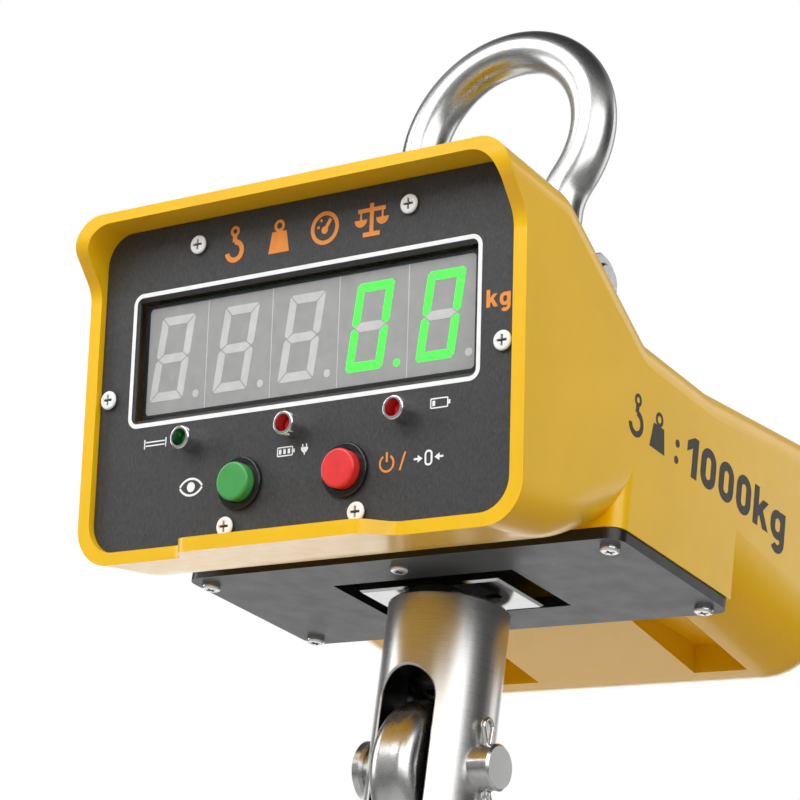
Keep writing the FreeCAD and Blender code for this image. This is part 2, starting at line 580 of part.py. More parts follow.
def swivel():
    """The bolt that the clevis turns on, its nut, thrust bearing and top washer."""
    length = "bolt_top - bolt_head_high"
    shank = cylinder("bolt_shank", "bolt_r", length, ("0", "0", "bolt_head_high"))
    head = cylinder("bolt_head", "bolt_head_r", "bolt_head_high - bolt_head_low", ("0", "0", "bolt_head_low"))
    head = soften("bolt_head_edge", head, "1.2", lambda middle, height, along, edge:
                  circle_edge(edge) and height < size("bolt_head_low") + 1, "Chamfer")
    key = hexagon("bolt_key", "9", "5", ("0", "0", "bolt_head_low - 1"))
    keep(cut("swivel_bolt", fuse("bolt_solid", shank, head), key), "swivel_bolt")
    nut = hexagon("swivel_nut_blank", "swivel_nut_flat", "swivel_nut_thick", ("0", "0", "cell_bar"))
    hole = cylinder("swivel_nut_bore", "bolt_r", "30", ("0", "0", "cell_bar - 5"))
    keep(cut("swivel_nut", nut, hole), "swivel_nut")
    keep(tube("lower_race", "bolt_head_r", "bolt_r", "race", ("0", "0", "bolt_head_high")), "lower_race")
    keep(tube("upper_race", "bolt_head_r", "bolt_r + bolt_clear", "race", ("0", "0", "bore_top - race")),
         "upper_race")
    keep(tube("swivel_washer", "seal_r", "bolt_r", "cell_low - clevis_top - 0.4",
              ("0", "0", "clevis_top + 0.4")),
         "swivel_washer")
    balls = []
    for index in range(10):
        ball = doc.addObject("Part::Sphere", "ball%d" % index)
        bind(ball, Radius="ball_r")
        angle = "(%d * 36deg)" % index
        balls.append(place(ball, "ball_ring_r * cos%s" % angle, "ball_ring_r * sin%s" % angle, "ball_z"))
    keep(group("bearing_balls", balls), "bearing_balls")


def clevis():
    """A turned steel cylinder with a round-topped slot for the hook's eye."""
    body = cylinder("clevis_body", "clevis_r", "clevis_top - clevis_low", ("0", "0", "clevis_low"))
    body = soften("clevis_top_edge", body, "0.9", lambda middle, height, along, edge:
                  circle_edge(edge) and height > -10, "Chamfer")
    body = soften("clevis_low_edge", body, "4", lambda middle, height, along,
                  edge: circle_edge(edge) and height < -80)
    centre = "slot_top - slot_x"
    slot = box("slot_straight", "slot_x", "30", ("clevis_low - 5", centre))
    arch = cylinder("slot_arch", "slot_x", "60", ("0", "-30", centre), "y")
    bore = cylinder("clevis_bore", "bore_r", "bore_top - hook_pin_z", ("0", "0", "hook_pin_z"))
    hole = cylinder("clevis_bolt_hole", "bolt_r + bolt_clear", "40", ("0", "0", "bore_top - 5"))
    pin_hole = cylinder("clevis_pin_hole", "hook_pin_r", "60", ("-30", "0", "hook_pin_z"), "x")
    solid = cut("clevis_cut", body, slot, arch, bore, hole, pin_hole)

    def at_slot_mouth(middle, height, along, edge):
        on_outside = abs(math.hypot(middle.x, middle.y) - size("clevis_r")) < 0.05
        in_slot = abs(middle.x) < size("slot_x") + 0.1
        return on_outside and in_slot and size("clevis_low") + 6 < height < size("slot_top") + 1
    solid = soften("clevis", solid, "0.7", at_slot_mouth, "Chamfer")
    keep(solid, "clevis")


def hook_pin():
    """Headed clevis pin, drilled at its plain end for a split cotter."""
    shank = cylinder("hook_pin_shank", "hook_pin_r", "hook_pin_end - hook_head_x",
                     ("hook_head_x", "0", "hook_pin_z"), "x")
    tip = soften("hook_pin_tip", shank, "0.8", lambda middle, height, along,
                 edge: circle_edge(edge) and middle.x > 0, "Chamfer")
    at = "-clevis_r - 4.2"
    head = cylinder("hook_pin_head", "hook_head_r", "hook_head_thick", (at + " - 0.4", "0", "hook_pin_z"),
                    "x")
    head = soften("hook_pin_head_edge", head, "1", lambda middle, height, along, edge: circle_edge(edge),
                  "Chamfer")
    flat = box("hook_pin_trim", (at + " - 20", at + " - 0.4"), "30", ("hook_pin_z - 30", "hook_pin_z + 30"))
    hole = cylinder("cotter_hole", "2 * cotter_wire_r + 0.1", "30", ("0", "0", "0"))
    place(hole, "cotter_x", "15 * sin(cotter_lean * 1deg)", "hook_pin_z - 15 * cos(cotter_lean * 1deg)",
          FreeCAD.Rotation(X_AXIS, size("cotter_lean")))
    keep(cut("hook_pin", fuse("hook_pin_solid", tip, head), flat, hole), "hook_pin")


def cotter():
    """A split pin: two wires side by side through the hole, a loop above and spread tails below."""
    wire, pin = size("cotter_wire_r"), size("hook_pin_r")
    spread, loop_r, loop_z, tail_z = 2.8, 2.6, pin + 5.8, -12.5
    near = wire + 0.02

    def half(side):
        return [Vector(0, side * spread, tail_z), Vector(0, side * near, -pin - 1),
                Vector(0, side * near, pin + 0.5), Vector(0, side * loop_r, loop_z)]
    right, left = half(1), half(-1)
    edges = [Part.makeLine(start, end) for start, end in zip(right, right[1:])]
    edges.append(Part.Arc(right[-1], Vector(0, 0, loop_z + loop_r), left[-1]).toShape())
    edges += [Part.makeLine(start, end) for start, end in zip(left[::-1], left[-2::-1])]
    section = Part.Wire(Part.makeCircle(wire, right[0], right[1] - right[0]))
    obj = doc.addObject("Part::Feature", "cotter")
    obj.Shape = Part.Wire(edges).makePipeShell([section], True, False, 0)
    place(obj, "cotter_x", "0", "hook_pin_z", FreeCAD.Rotation(X_AXIS, size("cotter_lean")))
    keep(obj, "hook_pin_cotter")


# ---- hook ----

# Stations of the forged hook: y and height of the centre line, its heading in degrees from +Y,
# half depth in the hook's plane and half width across it.
HOOK_STATIONS = [
    (-5.0, -84.0, -100, 12.5, 8.6), (-9.5, -97.0, -112, 12.2, 8.6), (-19.5, -111.0, -128, 11.6, 8.8),
    (-29.5, -127.0, -108, 12.0, 9.2), (-33.0, -143.0, -90, 13.0, 9.6), (-24.2, -167.5, -45, 14.0, 10.0),
    (0.0, -178.0, 0, 15.0, 10.2), (23.5, -166.5, 45, 13.5, 9.6), (32.0, -146.0, 83, 11.5, 8.6),
    (34.5, -130.0, 80, 9.2, 7.4), (38.0, -117.0, 70, 6.2, 5.8), (41.5, -109.0, 64, 2.6, 3.0),
]


def hook_section(y, height, heading, deep, wide):
    """An egg-round section square to the hook's centre line."""
    centre = Vector(0, y, height - size("suspension_z"))
    turn = math.radians(heading)
    tangent = Vector(0, math.cos(turn), math.sin(turn))
    across = X_AXIS
    inward = tangent.cross(across)
    ring = []
    for number in range(16):
        angle = 2 * math.pi * number / 16
        power = 0.82
        a, b = math.cos(angle), math.sin(angle)
        a = math.copysign(abs(a) ** power, a) * deep
        b = math.copysign(abs(b) ** power, b) * wide
        ring.append(centre + inward * a + across * b)
    curve = Part.BSplineCurve()
    curve.interpolate(ring, PeriodicFlag=True)
    return Part.Wire(curve.toShape())


def eye_ring():
    """The hook's eye: a rounded ring turned about the pin's direction."""
    outer, hole, half, soft = (size(name) for name in ("eye_r", "eye_hole_r", "eye_half", "eye_round"))
    centre = eye_centre()
    ring = Part.makeCylinder(outer, 2 * half, centre - Vector(half, 0, 0), X_AXIS)
    rims = [edge for edge in ring.Edges if isinstance(edge.Curve, Part.Circle)]
    ring = ring.makeFillet(soft, rims)
    bore = Part.makeCylinder(hole, 4 * half, centre - Vector(2 * half, 0, 0), X_AXIS)
    ring = ring.cut(bore)
    rims = [edge for edge in ring.Edges if isinstance(edge.Curve,
                                                      Part.Circle) and abs(edge.Curve.Radius - hole) < 0.01]
    return ring.makeFillet(1.6, rims)


def eye_centre():
    """The eye hangs on the pin with the pin at the top of its larger hole."""
    return Vector(0, 0, size("hook_pin_z - suspension_z - eye_hole_r + hook_pin_r + fit"))


def hook():
    """Eye, shank, bowl and point of a forged hook, with an ear for the latch."""
    horn = Part.makeLoft([hook_section(*station) for station in HOOK_STATIONS], True, False)
    bore = Part.makeCylinder(size("eye_hole_r"), 80, eye_centre() - Vector(40, 0, 0), X_AXIS)
    pivot = Vector(0, size("latch_y"), size("latch_z - suspension_z"))
    half, ear_r = size("latch_ear_half"), size("latch_ear_r")
    ear = Part.makeCylinder(ear_r, 2 * half, pivot - Vector(half, 0, 0), X_AXIS)
    root = Part.makeBox(2 * half, 14, 2 * ear_r - 1, pivot + Vector(-half, -14, -ear_r + 1))
    pin_hole = Part.makeCylinder(size("latch_pin_r"), 4 * half, pivot - Vector(2 * half, 0, 0), X_AXIS)
    solid = eye_ring().fuse([horn.cut(bore), ear, root]).removeSplitter().cut(pin_hole)
    obj = doc.addObject("Part::Feature", "hook_body")
    obj.Shape = solid
    keep(obj, "hook_body")


def latch():
    """Sprung safety latch: a bent strip on two cheeks, its pin and its torsion spring."""
    ear = "latch_ear_half"
    aim = FreeCAD.Rotation(X_AXIS, size("latch_aim"))
    pieces = []
    for name, low in (("left", "-(%s) - latch_gap - latch_side" % ear), ("right", "%s + latch_gap" % ear)):
        cheek = cylinder("latch_cheek_" + name, "latch_ear_r - 0.2", "latch_side", (low, "0", "0"), "x",
                         "local")
        arm = box("latch_arm_" + name, (low, "%s + latch_side" % low), ("0", "latch_long - 5"),
                  ("-1", "latch_ear_r - 0.2"), "local")
        pieces += [cheek, arm]
    side = "%s + latch_gap + latch_side" % ear
    tongue = box("latch_tongue_plate", side, ("latch_ear_r + 1", "latch_long"),
                 ("latch_ear_r - 1.8", "latch_ear_r - 0.2"), "local")
    hole = cylinder("latch_hole", "latch_pin_r + fit", "40", ("-20", "0", "0"), "x", "local")
    solid = cut("safety_latch", fuse("latch_solid", tongue, *pieces), hole)
    keep(place(solid, "0", "latch_y", "latch_z", aim), "safety_latch")
    long = "%s + latch_gap + latch_side + 3" % ear
    rivet = cylinder("latch_rivet", "latch_pin_r", "2 * (%s)" % long,
                     ("-(%s)" % long, "latch_y", "latch_z"), "x")
    heads = [cylinder("latch_rivet_head%d" % index, "latch_pin_r + 1.1", "1.2", (low, "latch_y", "latch_z"),
                      "x")
             for index, low in enumerate(("-(%s) - 0.6" % long, "%s - 0.6" % long))]
    keep(fuse("latch_pin", rivet, *heads), "latch_pin")
    latch_spring()


def latch_spring():
    """Torsion spring wound on the rivet beside the right cheek."""
    wire, coil_r = 0.45, size("latch_pin_r") + 0.55
    low = size("latch_ear_half + latch_gap + latch_side") + 0.7
    turns, pitch = 1.2, 1.0
    helix = Part.makeHelix(pitch, turns * pitch, coil_r)
    coil = Part.Wire(helix.Edges)
    start = coil.Edges[0].valueAt(coil.Edges[0].FirstParameter)
    heading = coil.Edges[0].tangentAt(coil.Edges[0].FirstParameter)
    solid = coil.makePipeShell([Part.Wire(Part.makeCircle(wire, start, heading))], True, True)
    obj = doc.addObject("Part::Feature", "latch_spring")
    obj.Shape = solid
    place(obj, str(low), "latch_y", "latch_z", AXIS_TURN["x"])
    keep(obj, "latch_spring")


# ---- bottom plate ----

def bottom_plate():
    plate = rounded_plate("plate_round", "plate_x", "plate_y", ("0", "plate_thick"), "plate_r", "body",
                          Z_AXIS)
    gap = box("plate_gap", "cut_x", "cut_y", ("-5", "10"))
    holes = [cylinder("plate_hole%d" % index, "screw_shank_r + 0.3", "10", (x, y, "-3"))
             for index, (x, y) in enumerate(PLATE_SCREWS)]
    keep(cut("bottom_plate", plate, gap, *holes), "bottom_plate")
    down = FreeCAD.Rotation(X_AXIS, 180)
    screws = [cross_screw("plate_screw%d" % index, "screw_head_r", "screw_head", "screw_shank_r",
                          "screw_length",
                          (x, y, "0"), down) for index, (x, y) in enumerate(PLATE_SCREWS)]
    keep(group("bottom_plate_screws", screws), "bottom_plate_screws")


# ---- display panel ----

LED_PLACES = [("-led_pitch", "led_u"), ("0", "led_u"), ("led_pitch", "led_u")]
KEY_PLACES = [("-key_x", "key_u"), ("key_x", "key_u")]
FACE_SCREWS = [("-43.8", "37.3"), ("43.8", "37.3"), ("-80.7", "-13.1"), ("80.7", "-13.1"),
               ("-26.6", "-62.1"), ("26.6", "-62.1")]


def front_panel():
    low, high = "open_low + 0.15", "open_high - 0.15"
    plate = rounded_plate("panel_blank", "open_x - 0.15", (low, high), ("-panel_thick", "0"), "open_r - 0.15")
    window = box("panel_window", "window_x", ("window_low", "window_high"), ("-10", "5"), "panel")
    holes = [cylinder("panel_led_hole%d" % index, "led_hole_r", "10", (x, u, "-5"), frame="panel")
             for index, (x, u) in enumerate(LED_PLACES)]
    holes += [cylinder("panel_key_hole%d" % index, "key_hole_r", "10", (x, u, "-5"), frame="panel")
              for index, (x, u) in enumerate(KEY_PLACES)]
    holes += [cylinder("panel_screw_hole%d" % index, "screw_shank_r", "10", (x, u, "-5"), frame="panel")
              for index, (x, u) in enumerate(FACE_SCREWS)]
    solid = cut("panel_cut", plate, window, *holes)
    keep(soften("front_panel", solid, "1.2", lambda middle, height, along, edge: window_front_edge(middle),
                "Chamfer"),
         "front_panel")
    screws = [cross_screw("face_screw%d" % index, "face_screw_r", "face_screw_high", "screw_shank_r - 0.1",
                          "6.5", (x, u, "0.02"),
                          frame="panel") for index, (x, u) in enumerate(FACE_SCREWS)]
    keep(group("panel_screws", screws), "panel_screws")


def on_panel(middle):
    """A point's x, u and w on the panel."""
    offset = middle - Vector(0, size("panel_y"), size("panel_z - suspension_z"))
    return offset.x, offset.dot(TILT_TURN.multVec(Y_AXIS)), offset.dot(PANEL_NORMAL)


def window_front_edge(middle):
    x, u, w = on_panel(middle)
    on_side = abs(abs(x) - size("window_x")) < 0.1 and size("window_low") - 1 < u < size("window_high") + 1
    on_end = abs(x) < 5 and min(abs(u - size("window_low")), abs(u - size("window_high"))) < 0.1
    return abs(w) < 0.05 and (on_side or on_end)


def display():
    """Clear window, five digit modules and the board that carries them."""
    glass = ("-panel_thick - 0.1 - glass_thick", "-panel_thick - 0.1")
    keep(box("display_window", "window_x + 3", ("window_low - 2", "window_high + 2"), glass, "panel"),
         "display_window")
    digits = []
    for index in range(5):
        middle = "(%d) * digit_pitch" % (index - 2)
        digits.append(box("digit%d" % index, ("%s - digit_wide / 2" % middle, "%s + digit_wide / 2" % middle),
                          ("digit_low", "digit_high"), ("digit_face - digit_deep", "digit_face"), "panel"))
    keep(group("digit_modules", digits), "digit_modules")
    back = "digit_face - digit_deep"
    keep(box("display_board", "window_x + 4", ("digit_low - 5", "digit_high + 5"),
             ("%s - board" % back, back), "panel"),
         "display_board")
    posts = [cylinder("board_post%d" % index, "2.2", "9.9", (x, u, "%s - 9.95" % back + " - board"),
                      frame="panel")
             for index, (x, u) in enumerate((a, b) for a in ("-66", "66") for b in ("-18", "18"))]
    keep(group("board_posts", posts), "board_posts")
    deep = "%s - board - 10" % back
    keep(box("main_board", "window_x + 1", ("-30", "26"), ("%s - board" % deep, deep), "panel"), "main_board")
    keep(box("transformer", ("-20", "20"), ("-16", "12"), ("%s - board - 12" % deep, "%s - board" % deep),
             "panel"),
         "power_module")


def indicators():
    holders, leds = [], []
    for index, (x, u) in enumerate(LED_PLACES):
        flange = cylinder("holder_top%d" % index, "holder_r", "holder_high", (x, u, "0.02"), frame="panel")
        flange = soften("holder_rim%d" % index, flange, "0.5", lambda middle, height, along, edge:
                        circle_edge(edge) and on_panel(middle)[2] > 1)
        neck = cylinder("holder_neck%d" % index, "led_hole_r - 0.05", "7", (x, u, "-6"), frame="panel")
        bore = cylinder("holder_bore%d" % index, "led_r + 0.02", "30", (x, u, "-15"), frame="panel")
        holders.append(cut("holder%d" % index, fuse("holder_solid%d" % index, flange, neck), bore))
        stem = cylinder("led_stem%d" % index, "led_r", "led_top - led_r + 5", (x, u, "-5"), frame="panel")
        dome = doc.addObject("Part::Sphere", "led_dome%d" % index)
        bind(dome, Radius="led_r")
        place(dome, x, u, "led_top - led_r", frame="panel")
        leds.append(fuse("led%d" % index, stem, dome))
    keep(group("led_holders", holders), "led_holders")
    for led, label in zip(leds, ("stable_led", "charge_led", "low_battery_led")):
        keep(led, label)


def keys():
    """Two push buttons in threaded bezels, over their switches on a small board."""
    bezels, switches = [], []
    for index, ((x, u), label) in enumerate(zip(KEY_PLACES, ("green_button", "red_button"))):
        top = cylinder("bezel_top%d" % index, "bezel_r", "bezel_high", (x, u, "0.02"), frame="panel")
        top = soften("bezel_edge%d" % index, top, "0.6", lambda middle, height, along, edge:
                     circle_edge(edge) and on_panel(middle)[2] > 1)
        neck = cylinder("bezel_neck%d" % index, "bezel_neck_r", "8", (x, u, "-7.5"), frame="panel")
        bore = cylinder("bezel_bore%d" % index, "bezel_hole_r", "30", (x, u, "-15"), frame="panel")
        bezels.append(cut("bezel%d" % index, fuse("bezel_solid%d" % index, top, neck), bore))
        cap = cylinder("cap_blank%d" % index, "key_r", "key_proud + 5", (x, u, "-5"), frame="panel")
        keep(soften(label, cap, "0.9", lambda middle, height, along, edge:
                    circle_edge(edge) and on_panel(middle)[2] > 1), label)
        switches.append(box("switch%d" % index, ("%s - 5" % x, "%s + 5" % x), ("%s - 5" % u, "%s + 5" % u),
                            ("-12", "-7.6"), "panel"))
    keep(group("button_bezels", bezels), "button_bezels")
    keep(group("button_switches", switches), "button_switches")
    keep(box("key_board", "34", ("-57", "-38"), ("-12 - board", "-12"), "panel"), "key_board")


# ---- rear ----

def rear():
    tray = box("tray_base", "battery_x + 1", ("battery_front - 2", "battery_back + 1"),
               ("battery_low - 2", "battery_low - 0.2"))
    feet = [box("tray_foot%d" % index, (low, high), ("battery_front - 2", "battery_back - 13"),
                ("rear_floor_z", "battery_low - 1"))
            for index, (low, high) in enumerate((("-battery_x - 1", "-battery_x + 1"),
                                                 ("battery_x - 1", "battery_x + 1")))]
    keep(fuse("battery_tray", tray, *feet), "battery_tray")
    cell = box("battery_case", "battery_x", ("battery_front", "battery_back"),
               ("battery_low", "battery_high - 3"))
    cell = soften("battery_edges", cell, "2", lambda middle, height, along, edge: parallel(along, Z_AXIS))
    keep(cell, "battery")
    tabs = [box("battery_tab%d" % index, (low, high), ("battery_front + 4", "battery_front + 10"),
                ("battery_high - 3", "battery_high - 2"))
            for index, (low, high) in enumerate((("-40", "-33"), ("33", "40")))]
    keep(group("battery_terminals", tabs), "battery_terminals")
    gasket = box("gasket_sheet", "door_x + 5", ("rear_y", "rear_y + gasket"),
                 ("door_low - 3", "door_high + 3"))
    gasket_gap = box("gasket_gap", "door_x + 0.5", ("rear_y - 1", "rear_y + 5"),
                     ("door_low - 0.5", "door_high + 0.5"))
    gasket_holes = [cylinder("gasket_hole%d" % index, "screw_shank_r + 0.3", "10", (x, "rear_y - 3", z), "y")
                    for index, (x, z) in enumerate(COVER_SCREWS)]
    keep(cut("cover_gasket", gasket, gasket_gap, *gasket_holes), "cover_gasket")
    face = "rear_y + gasket"
    cover = rounded_plate("cover_round", "cover_x", (face, "%s + cover_thick" % face),
                          ("cover_low", "cover_high"), "5",
                          "body", Y_AXIS)
    cover = soften("cover_edge", cover, "1", lambda middle, height, along,
                   edge: middle.y > size(face + " + cover_thick") - 0.01)
    holes = [cylinder("cover_hole%d" % index, "screw_shank_r + 0.3", "20", (x, "rear_y - 3", z), "y")
             for index, (x, z) in enumerate(COVER_SCREWS)]
    keep(cut("battery_cover", cover, *holes), "battery_cover")
    back = FreeCAD.Rotation(X_AXIS, -90)
    screws = [cross_screw("cover_screw%d" % index, "screw_head_r", "screw_head", "screw_shank_r",
                          "screw_length",
                          (x, face + " + cover_thick", z), back) for index, (x, z) in enumerate(COVER_SCREWS)]
    keep(group("cover_screws", screws), "cover_screws")
    flange = cylinder("socket_flange", "socket_r + 3", "2", ("-body_x - 2", "socket_y", "socket_z"), "x")
    barrel = cylinder("socket_barrel", "socket_r - 0.1", "16", ("-body_x - 1", "socket_y", "socket_z"), "x")
    hole = cylinder("socket_hole", "3.5", "10", ("-body_x - 3", "socket_y", "socket_z"), "x")
    keep(cut("charge_socket", fuse("socket_solid", flange, barrel), hole), "charge_socket")
    plug = cylinder("cap_plug", "3.3", "6", ("-body_x - 3", "socket_y", "socket_z"), "x")
    lid = cylinder("cap_lid", "socket_r + 1.5", "2.5", ("-body_x - 4.6", "socket_y", "socket_z"), "x")
    lid = soften("cap_lid_edge", lid, "0.9", lambda middle, height, along, edge:
                 circle_edge(edge) and middle.x < -size("body_x") - 4)
    keep(fuse("charge_cap", plug, lid), "charge_cap")


shackle_bow()
shackle_pin()
load_cell()
cell_brackets()
neck_seal()
swivel()
clevis()
hook_pin()
cotter()
hook()
latch()
bottom_plate()
front_panel()
display()
indicators()
keys()
rear()


def write_parts():
    doc.recompute()
    for obj in doc.Objects:
        if "Invalid" in obj.State or "Error" in obj.State:
            raise RuntimeError("failed: %s %s" % (obj.Name, obj.State))
    os.makedirs("parts", exist_ok=True)
    for part in PARTS:
        if part.Shape.isNull() or not part.Shape.isValid():
            raise RuntimeError("bad shape: " + part.Label)
        part.Shape.exportStep("parts/%s.step" % part.Label)
        print("%-24s %d solids %10.1f mm3" % (part.Label, len(part.Shape.Solids), part.Shape.Volume))


write_parts()
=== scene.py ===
import json
import math

import bmesh
import bpy
from mathutils import Matrix, Vector


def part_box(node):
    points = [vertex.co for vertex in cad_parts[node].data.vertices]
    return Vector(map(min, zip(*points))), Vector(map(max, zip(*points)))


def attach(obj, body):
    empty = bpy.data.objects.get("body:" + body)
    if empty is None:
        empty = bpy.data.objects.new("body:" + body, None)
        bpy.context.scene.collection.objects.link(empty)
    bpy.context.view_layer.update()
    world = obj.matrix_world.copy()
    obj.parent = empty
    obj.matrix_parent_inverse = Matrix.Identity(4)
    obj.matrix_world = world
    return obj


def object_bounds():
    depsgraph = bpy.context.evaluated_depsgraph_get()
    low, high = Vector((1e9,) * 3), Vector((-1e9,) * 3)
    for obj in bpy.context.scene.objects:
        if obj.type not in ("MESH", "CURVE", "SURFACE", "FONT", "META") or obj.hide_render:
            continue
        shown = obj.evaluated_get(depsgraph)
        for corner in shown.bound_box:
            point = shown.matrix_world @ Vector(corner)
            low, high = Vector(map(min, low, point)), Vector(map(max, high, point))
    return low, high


# Finishes, printing and lit digits for the crane scale. Metres throughout, in the CAD's own frame.
# The front panel has its own frame: across, up along the tilted panel, and out towards the viewer.

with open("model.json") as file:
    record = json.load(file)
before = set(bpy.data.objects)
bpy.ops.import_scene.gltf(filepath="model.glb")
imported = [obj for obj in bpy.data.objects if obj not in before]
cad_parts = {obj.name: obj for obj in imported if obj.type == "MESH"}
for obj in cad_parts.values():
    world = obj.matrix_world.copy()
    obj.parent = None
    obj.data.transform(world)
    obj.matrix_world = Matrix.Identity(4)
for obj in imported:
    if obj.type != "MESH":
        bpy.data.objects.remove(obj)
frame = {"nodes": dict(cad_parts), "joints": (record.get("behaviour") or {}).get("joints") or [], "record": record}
cad_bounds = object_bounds()

MM = 0.001
WHITE = (1, 1, 1, 1)
EVEN = (1, 1, 1)                        # a grain that runs no special way
GRAIN_LOW, GRAIN_HIGH = 0.3, 0.7        # nearly all of a noise lies between these
BEND_LENGTH = 0.045                     # metres along a bent bar for each radian round its bend


def srgb(red, green, blue):
    """A display colour, 0 to 255, as the linear colour that shaders take."""
    return tuple((value / 255) ** 2.2 for value in (red, green, blue)) + (1.0,)


# ---------------------------------------------------------------- materials

def add_node(tree, kind, inputs=None, **settings):
    """A node with its settings, and each input linked to a socket or set to a value."""
    node = tree.nodes.new(kind)
    for setting, value in settings.items():
        setattr(node, setting, value)
    for socket, value in (inputs or {}).items():
        if isinstance(value, bpy.types.NodeSocket):
            tree.links.new(value, node.inputs[socket])
        else:
            node.inputs[socket].default_value = value
    return node


class Surface:
    """A procedural material: one Principled shader, fed by noise in the piece's own space."""

    def __init__(self, name, **sockets):
        self.material = bpy.data.materials.new(name)
        self.material.use_nodes = True
        self.tree = self.material.node_tree
        self.shader = self.tree.nodes["Principled BSDF"]
        self.place = self.add("ShaderNodeTexCoord").outputs["Object"]
        self.normal = None
        for socket, value in sockets.items():
            self.shader.inputs[socket.replace("_", " ")].default_value = value

    def add(self, kind, inputs=None, **settings):
        return add_node(self.tree, kind, inputs, **settings)

    def grain(self, size, stretch=EVEN, detail=2.0, source=None):
        """Noise with grains of about `size` metres, drawn out along each axis by `stretch`."""
        scale = [1 / (size * factor) for factor in stretch]
        spot = self.add("ShaderNodeVectorMath", {0: source or self.place, 1: scale}, operation="MULTIPLY")
        inputs = {"Vector": spot.outputs[0], "Scale": 1.0, "Detail": detail}
        return self.add("ShaderNodeTexNoise", inputs).outputs[0]

    def reach(self, first, second):
        """How far a point is from the axis that its two coordinates `first` and `second` are square to."""
        flat = self.add("ShaderNodeCombineXYZ", {0: first, 1: second}).outputs[0]
        return self.add("ShaderNodeVectorMath", {0: flat}, operation="LENGTH").outputs["Value"]

    def around(self, centre):
        """Coordinates that run along a bar bent round the Y direction through `centre`."""
        offset = self.add("ShaderNodeVectorMath", {0: self.place, 1: centre}, operation="SUBTRACT")
        axes = self.add("ShaderNodeSeparateXYZ", {0: offset.outputs[0]}).outputs
        radius = self.reach(axes[0], axes[2])
        angle = self.add("ShaderNodeMath", {0: axes[0], 1: axes[2]}, operation="ARCTAN2").outputs[0]
        along = self.add("ShaderNodeMath", {0: angle, 1: BEND_LENGTH}, operation="MULTIPLY").outputs[0]
        return self.add("ShaderNodeCombineXYZ", {0: radius, 1: axes[1], 2: along}).outputs[0]

    def upright(self):
        """How far the surface faces up: 1 when it is level, -1 when it is an underside."""
        facing = self.add("ShaderNodeTexCoord").outputs["Normal"]
        return self.add("ShaderNodeSeparateXYZ", {0: facing}).outputs[2]

    def mapped(self, value, low, high, out_low=0.0, out_high=1.0):
        """`value` carried from the range low to high onto the range out_low to out_high."""
        return self.add("ShaderNodeMapRange", {"Value": value, "From Min": low, "From Max": high,
                                               "To Min": out_low, "To Max": out_high}).outputs[0]

    def mix(self, factor, first, second):
        return self.add("ShaderNodeMix", {"Factor": factor, 6: first, 7: second}, data_type="RGBA").outputs[2]

    def blend(self, grain, dark, light, low=GRAIN_LOW, high=GRAIN_HIGH):
        """A colour that goes from dark to light as the grain goes from low to high."""
        return self.mix(self.mapped(grain, low, high), dark, light)

    def colour(self, source):
        self.tree.links.new(source, self.shader.inputs["Base Color"])

    def tint(self, grain, dark, light, low=GRAIN_LOW, high=GRAIN_HIGH):
        self.colour(self.blend(grain, dark, light, low, high))

    def polish(self, grain, smooth, rough):
        """Roughness from `smooth` to `rough` as the grain rises."""
        spread = self.mapped(grain, GRAIN_LOW, GRAIN_HIGH, smooth, rough)
        self.tree.links.new(spread, self.shader.inputs["Roughness"])

    def relief(self, grain, height, strength):
        """Fine bumps, `height` metres at most, on top of any already there."""
        inputs = {"Height": grain, "Distance": height, "Strength": strength}
        if self.normal:
            inputs["Normal"] = self.normal
        self.normal = self.add("ShaderNodeBump", inputs).outputs[0]
        self.tree.links.new(self.normal, self.shader.inputs["Normal"])
        return self


def shades(colour, spread):
    """A darker and a lighter colour, `spread` either side of the given one."""
    return [tuple(min(1.0, value * factor) for value in colour[:3]) + (1.0,)
            for factor in (1 - spread, 1 + spread)]


# painted shade for the inside of the clevis slot
SLOT_SHADE = (0.06, 0.058, 0.055, 1)
BRUSHED = (60, 60, 1)       # marks that run level, round a piece
TURNED = (90, 90, 1)        # the same, longer
ALONG_BAR = (1, 1, 60)      # marks that run along a bent bar


def gloss_paint(name, colour, underside_shade_colour):
    """Sprayed enamel on a casting: faint orange peel under a clear gloss, and painted shade that makes it deeper
    in colour underneath.
    """
    surface = Surface(name, Coat_Weight=0.35, Coat_Roughness=0.16, Specular_IOR_Level=0.4)
    # painted shade: faces turned down take the deeper underside colour, standing in for the shade they lie in
    under = surface.mapped(surface.upright(), -0.2, -0.7)
    cloudy = surface.blend(surface.grain(0.03, detail=3.0), *shades(colour, 0.035))
    surface.colour(surface.mix(under, cloudy, underside_shade_colour))
    surface.polish(surface.grain(0.006), 0.32, 0.42)
    surface.relief(surface.grain(0.0016, detail=1.0), 0.00002, 0.5)
    return surface.relief(surface.grain(0.02, detail=1.0), 0.0001, 0.25).material


def coated_plate(name, face_colour, edge_shade_colour, roughness):
    """Grained coating on a plate's flat faces; its sawn edges are darker with painted shade, standing in for the
    dark they reflect.
    """
    surface = Surface(name)
    level = surface.add("ShaderNodeMath", {0: surface.upright()}, operation="ABSOLUTE").outputs[0]
    grain = surface.grain(0.0007, detail=3.0)
    face = surface.blend(grain, *shades(face_colour, 0.22))
    # painted shade: faces that stand upright, the plate's edges, take the dark edge colour
    surface.colour(surface.mix(surface.mapped(level, 0.4, 0.8), edge_shade_colour, face))
    surface.polish(surface.grain(0.01), roughness - 0.05, roughness + 0.08)
    return surface.relief(grain, 0.00005, 0.7).material


def leather_panel(name, colour):
    """Embossed panel film: short upright creases, with a finer grain between them."""
    surface = Surface(name)
    creases = surface.grain(0.0007, (1.0, 1.0, 2.6), detail=3.0)
    surface.tint(creases, *shades(colour, 0.3))
    surface.polish(surface.grain(0.004), 0.42, 0.58)
    surface.relief(creases, 0.00012, 0.9)
    return surface.relief(surface.grain(0.00025), 0.00003, 0.4).material


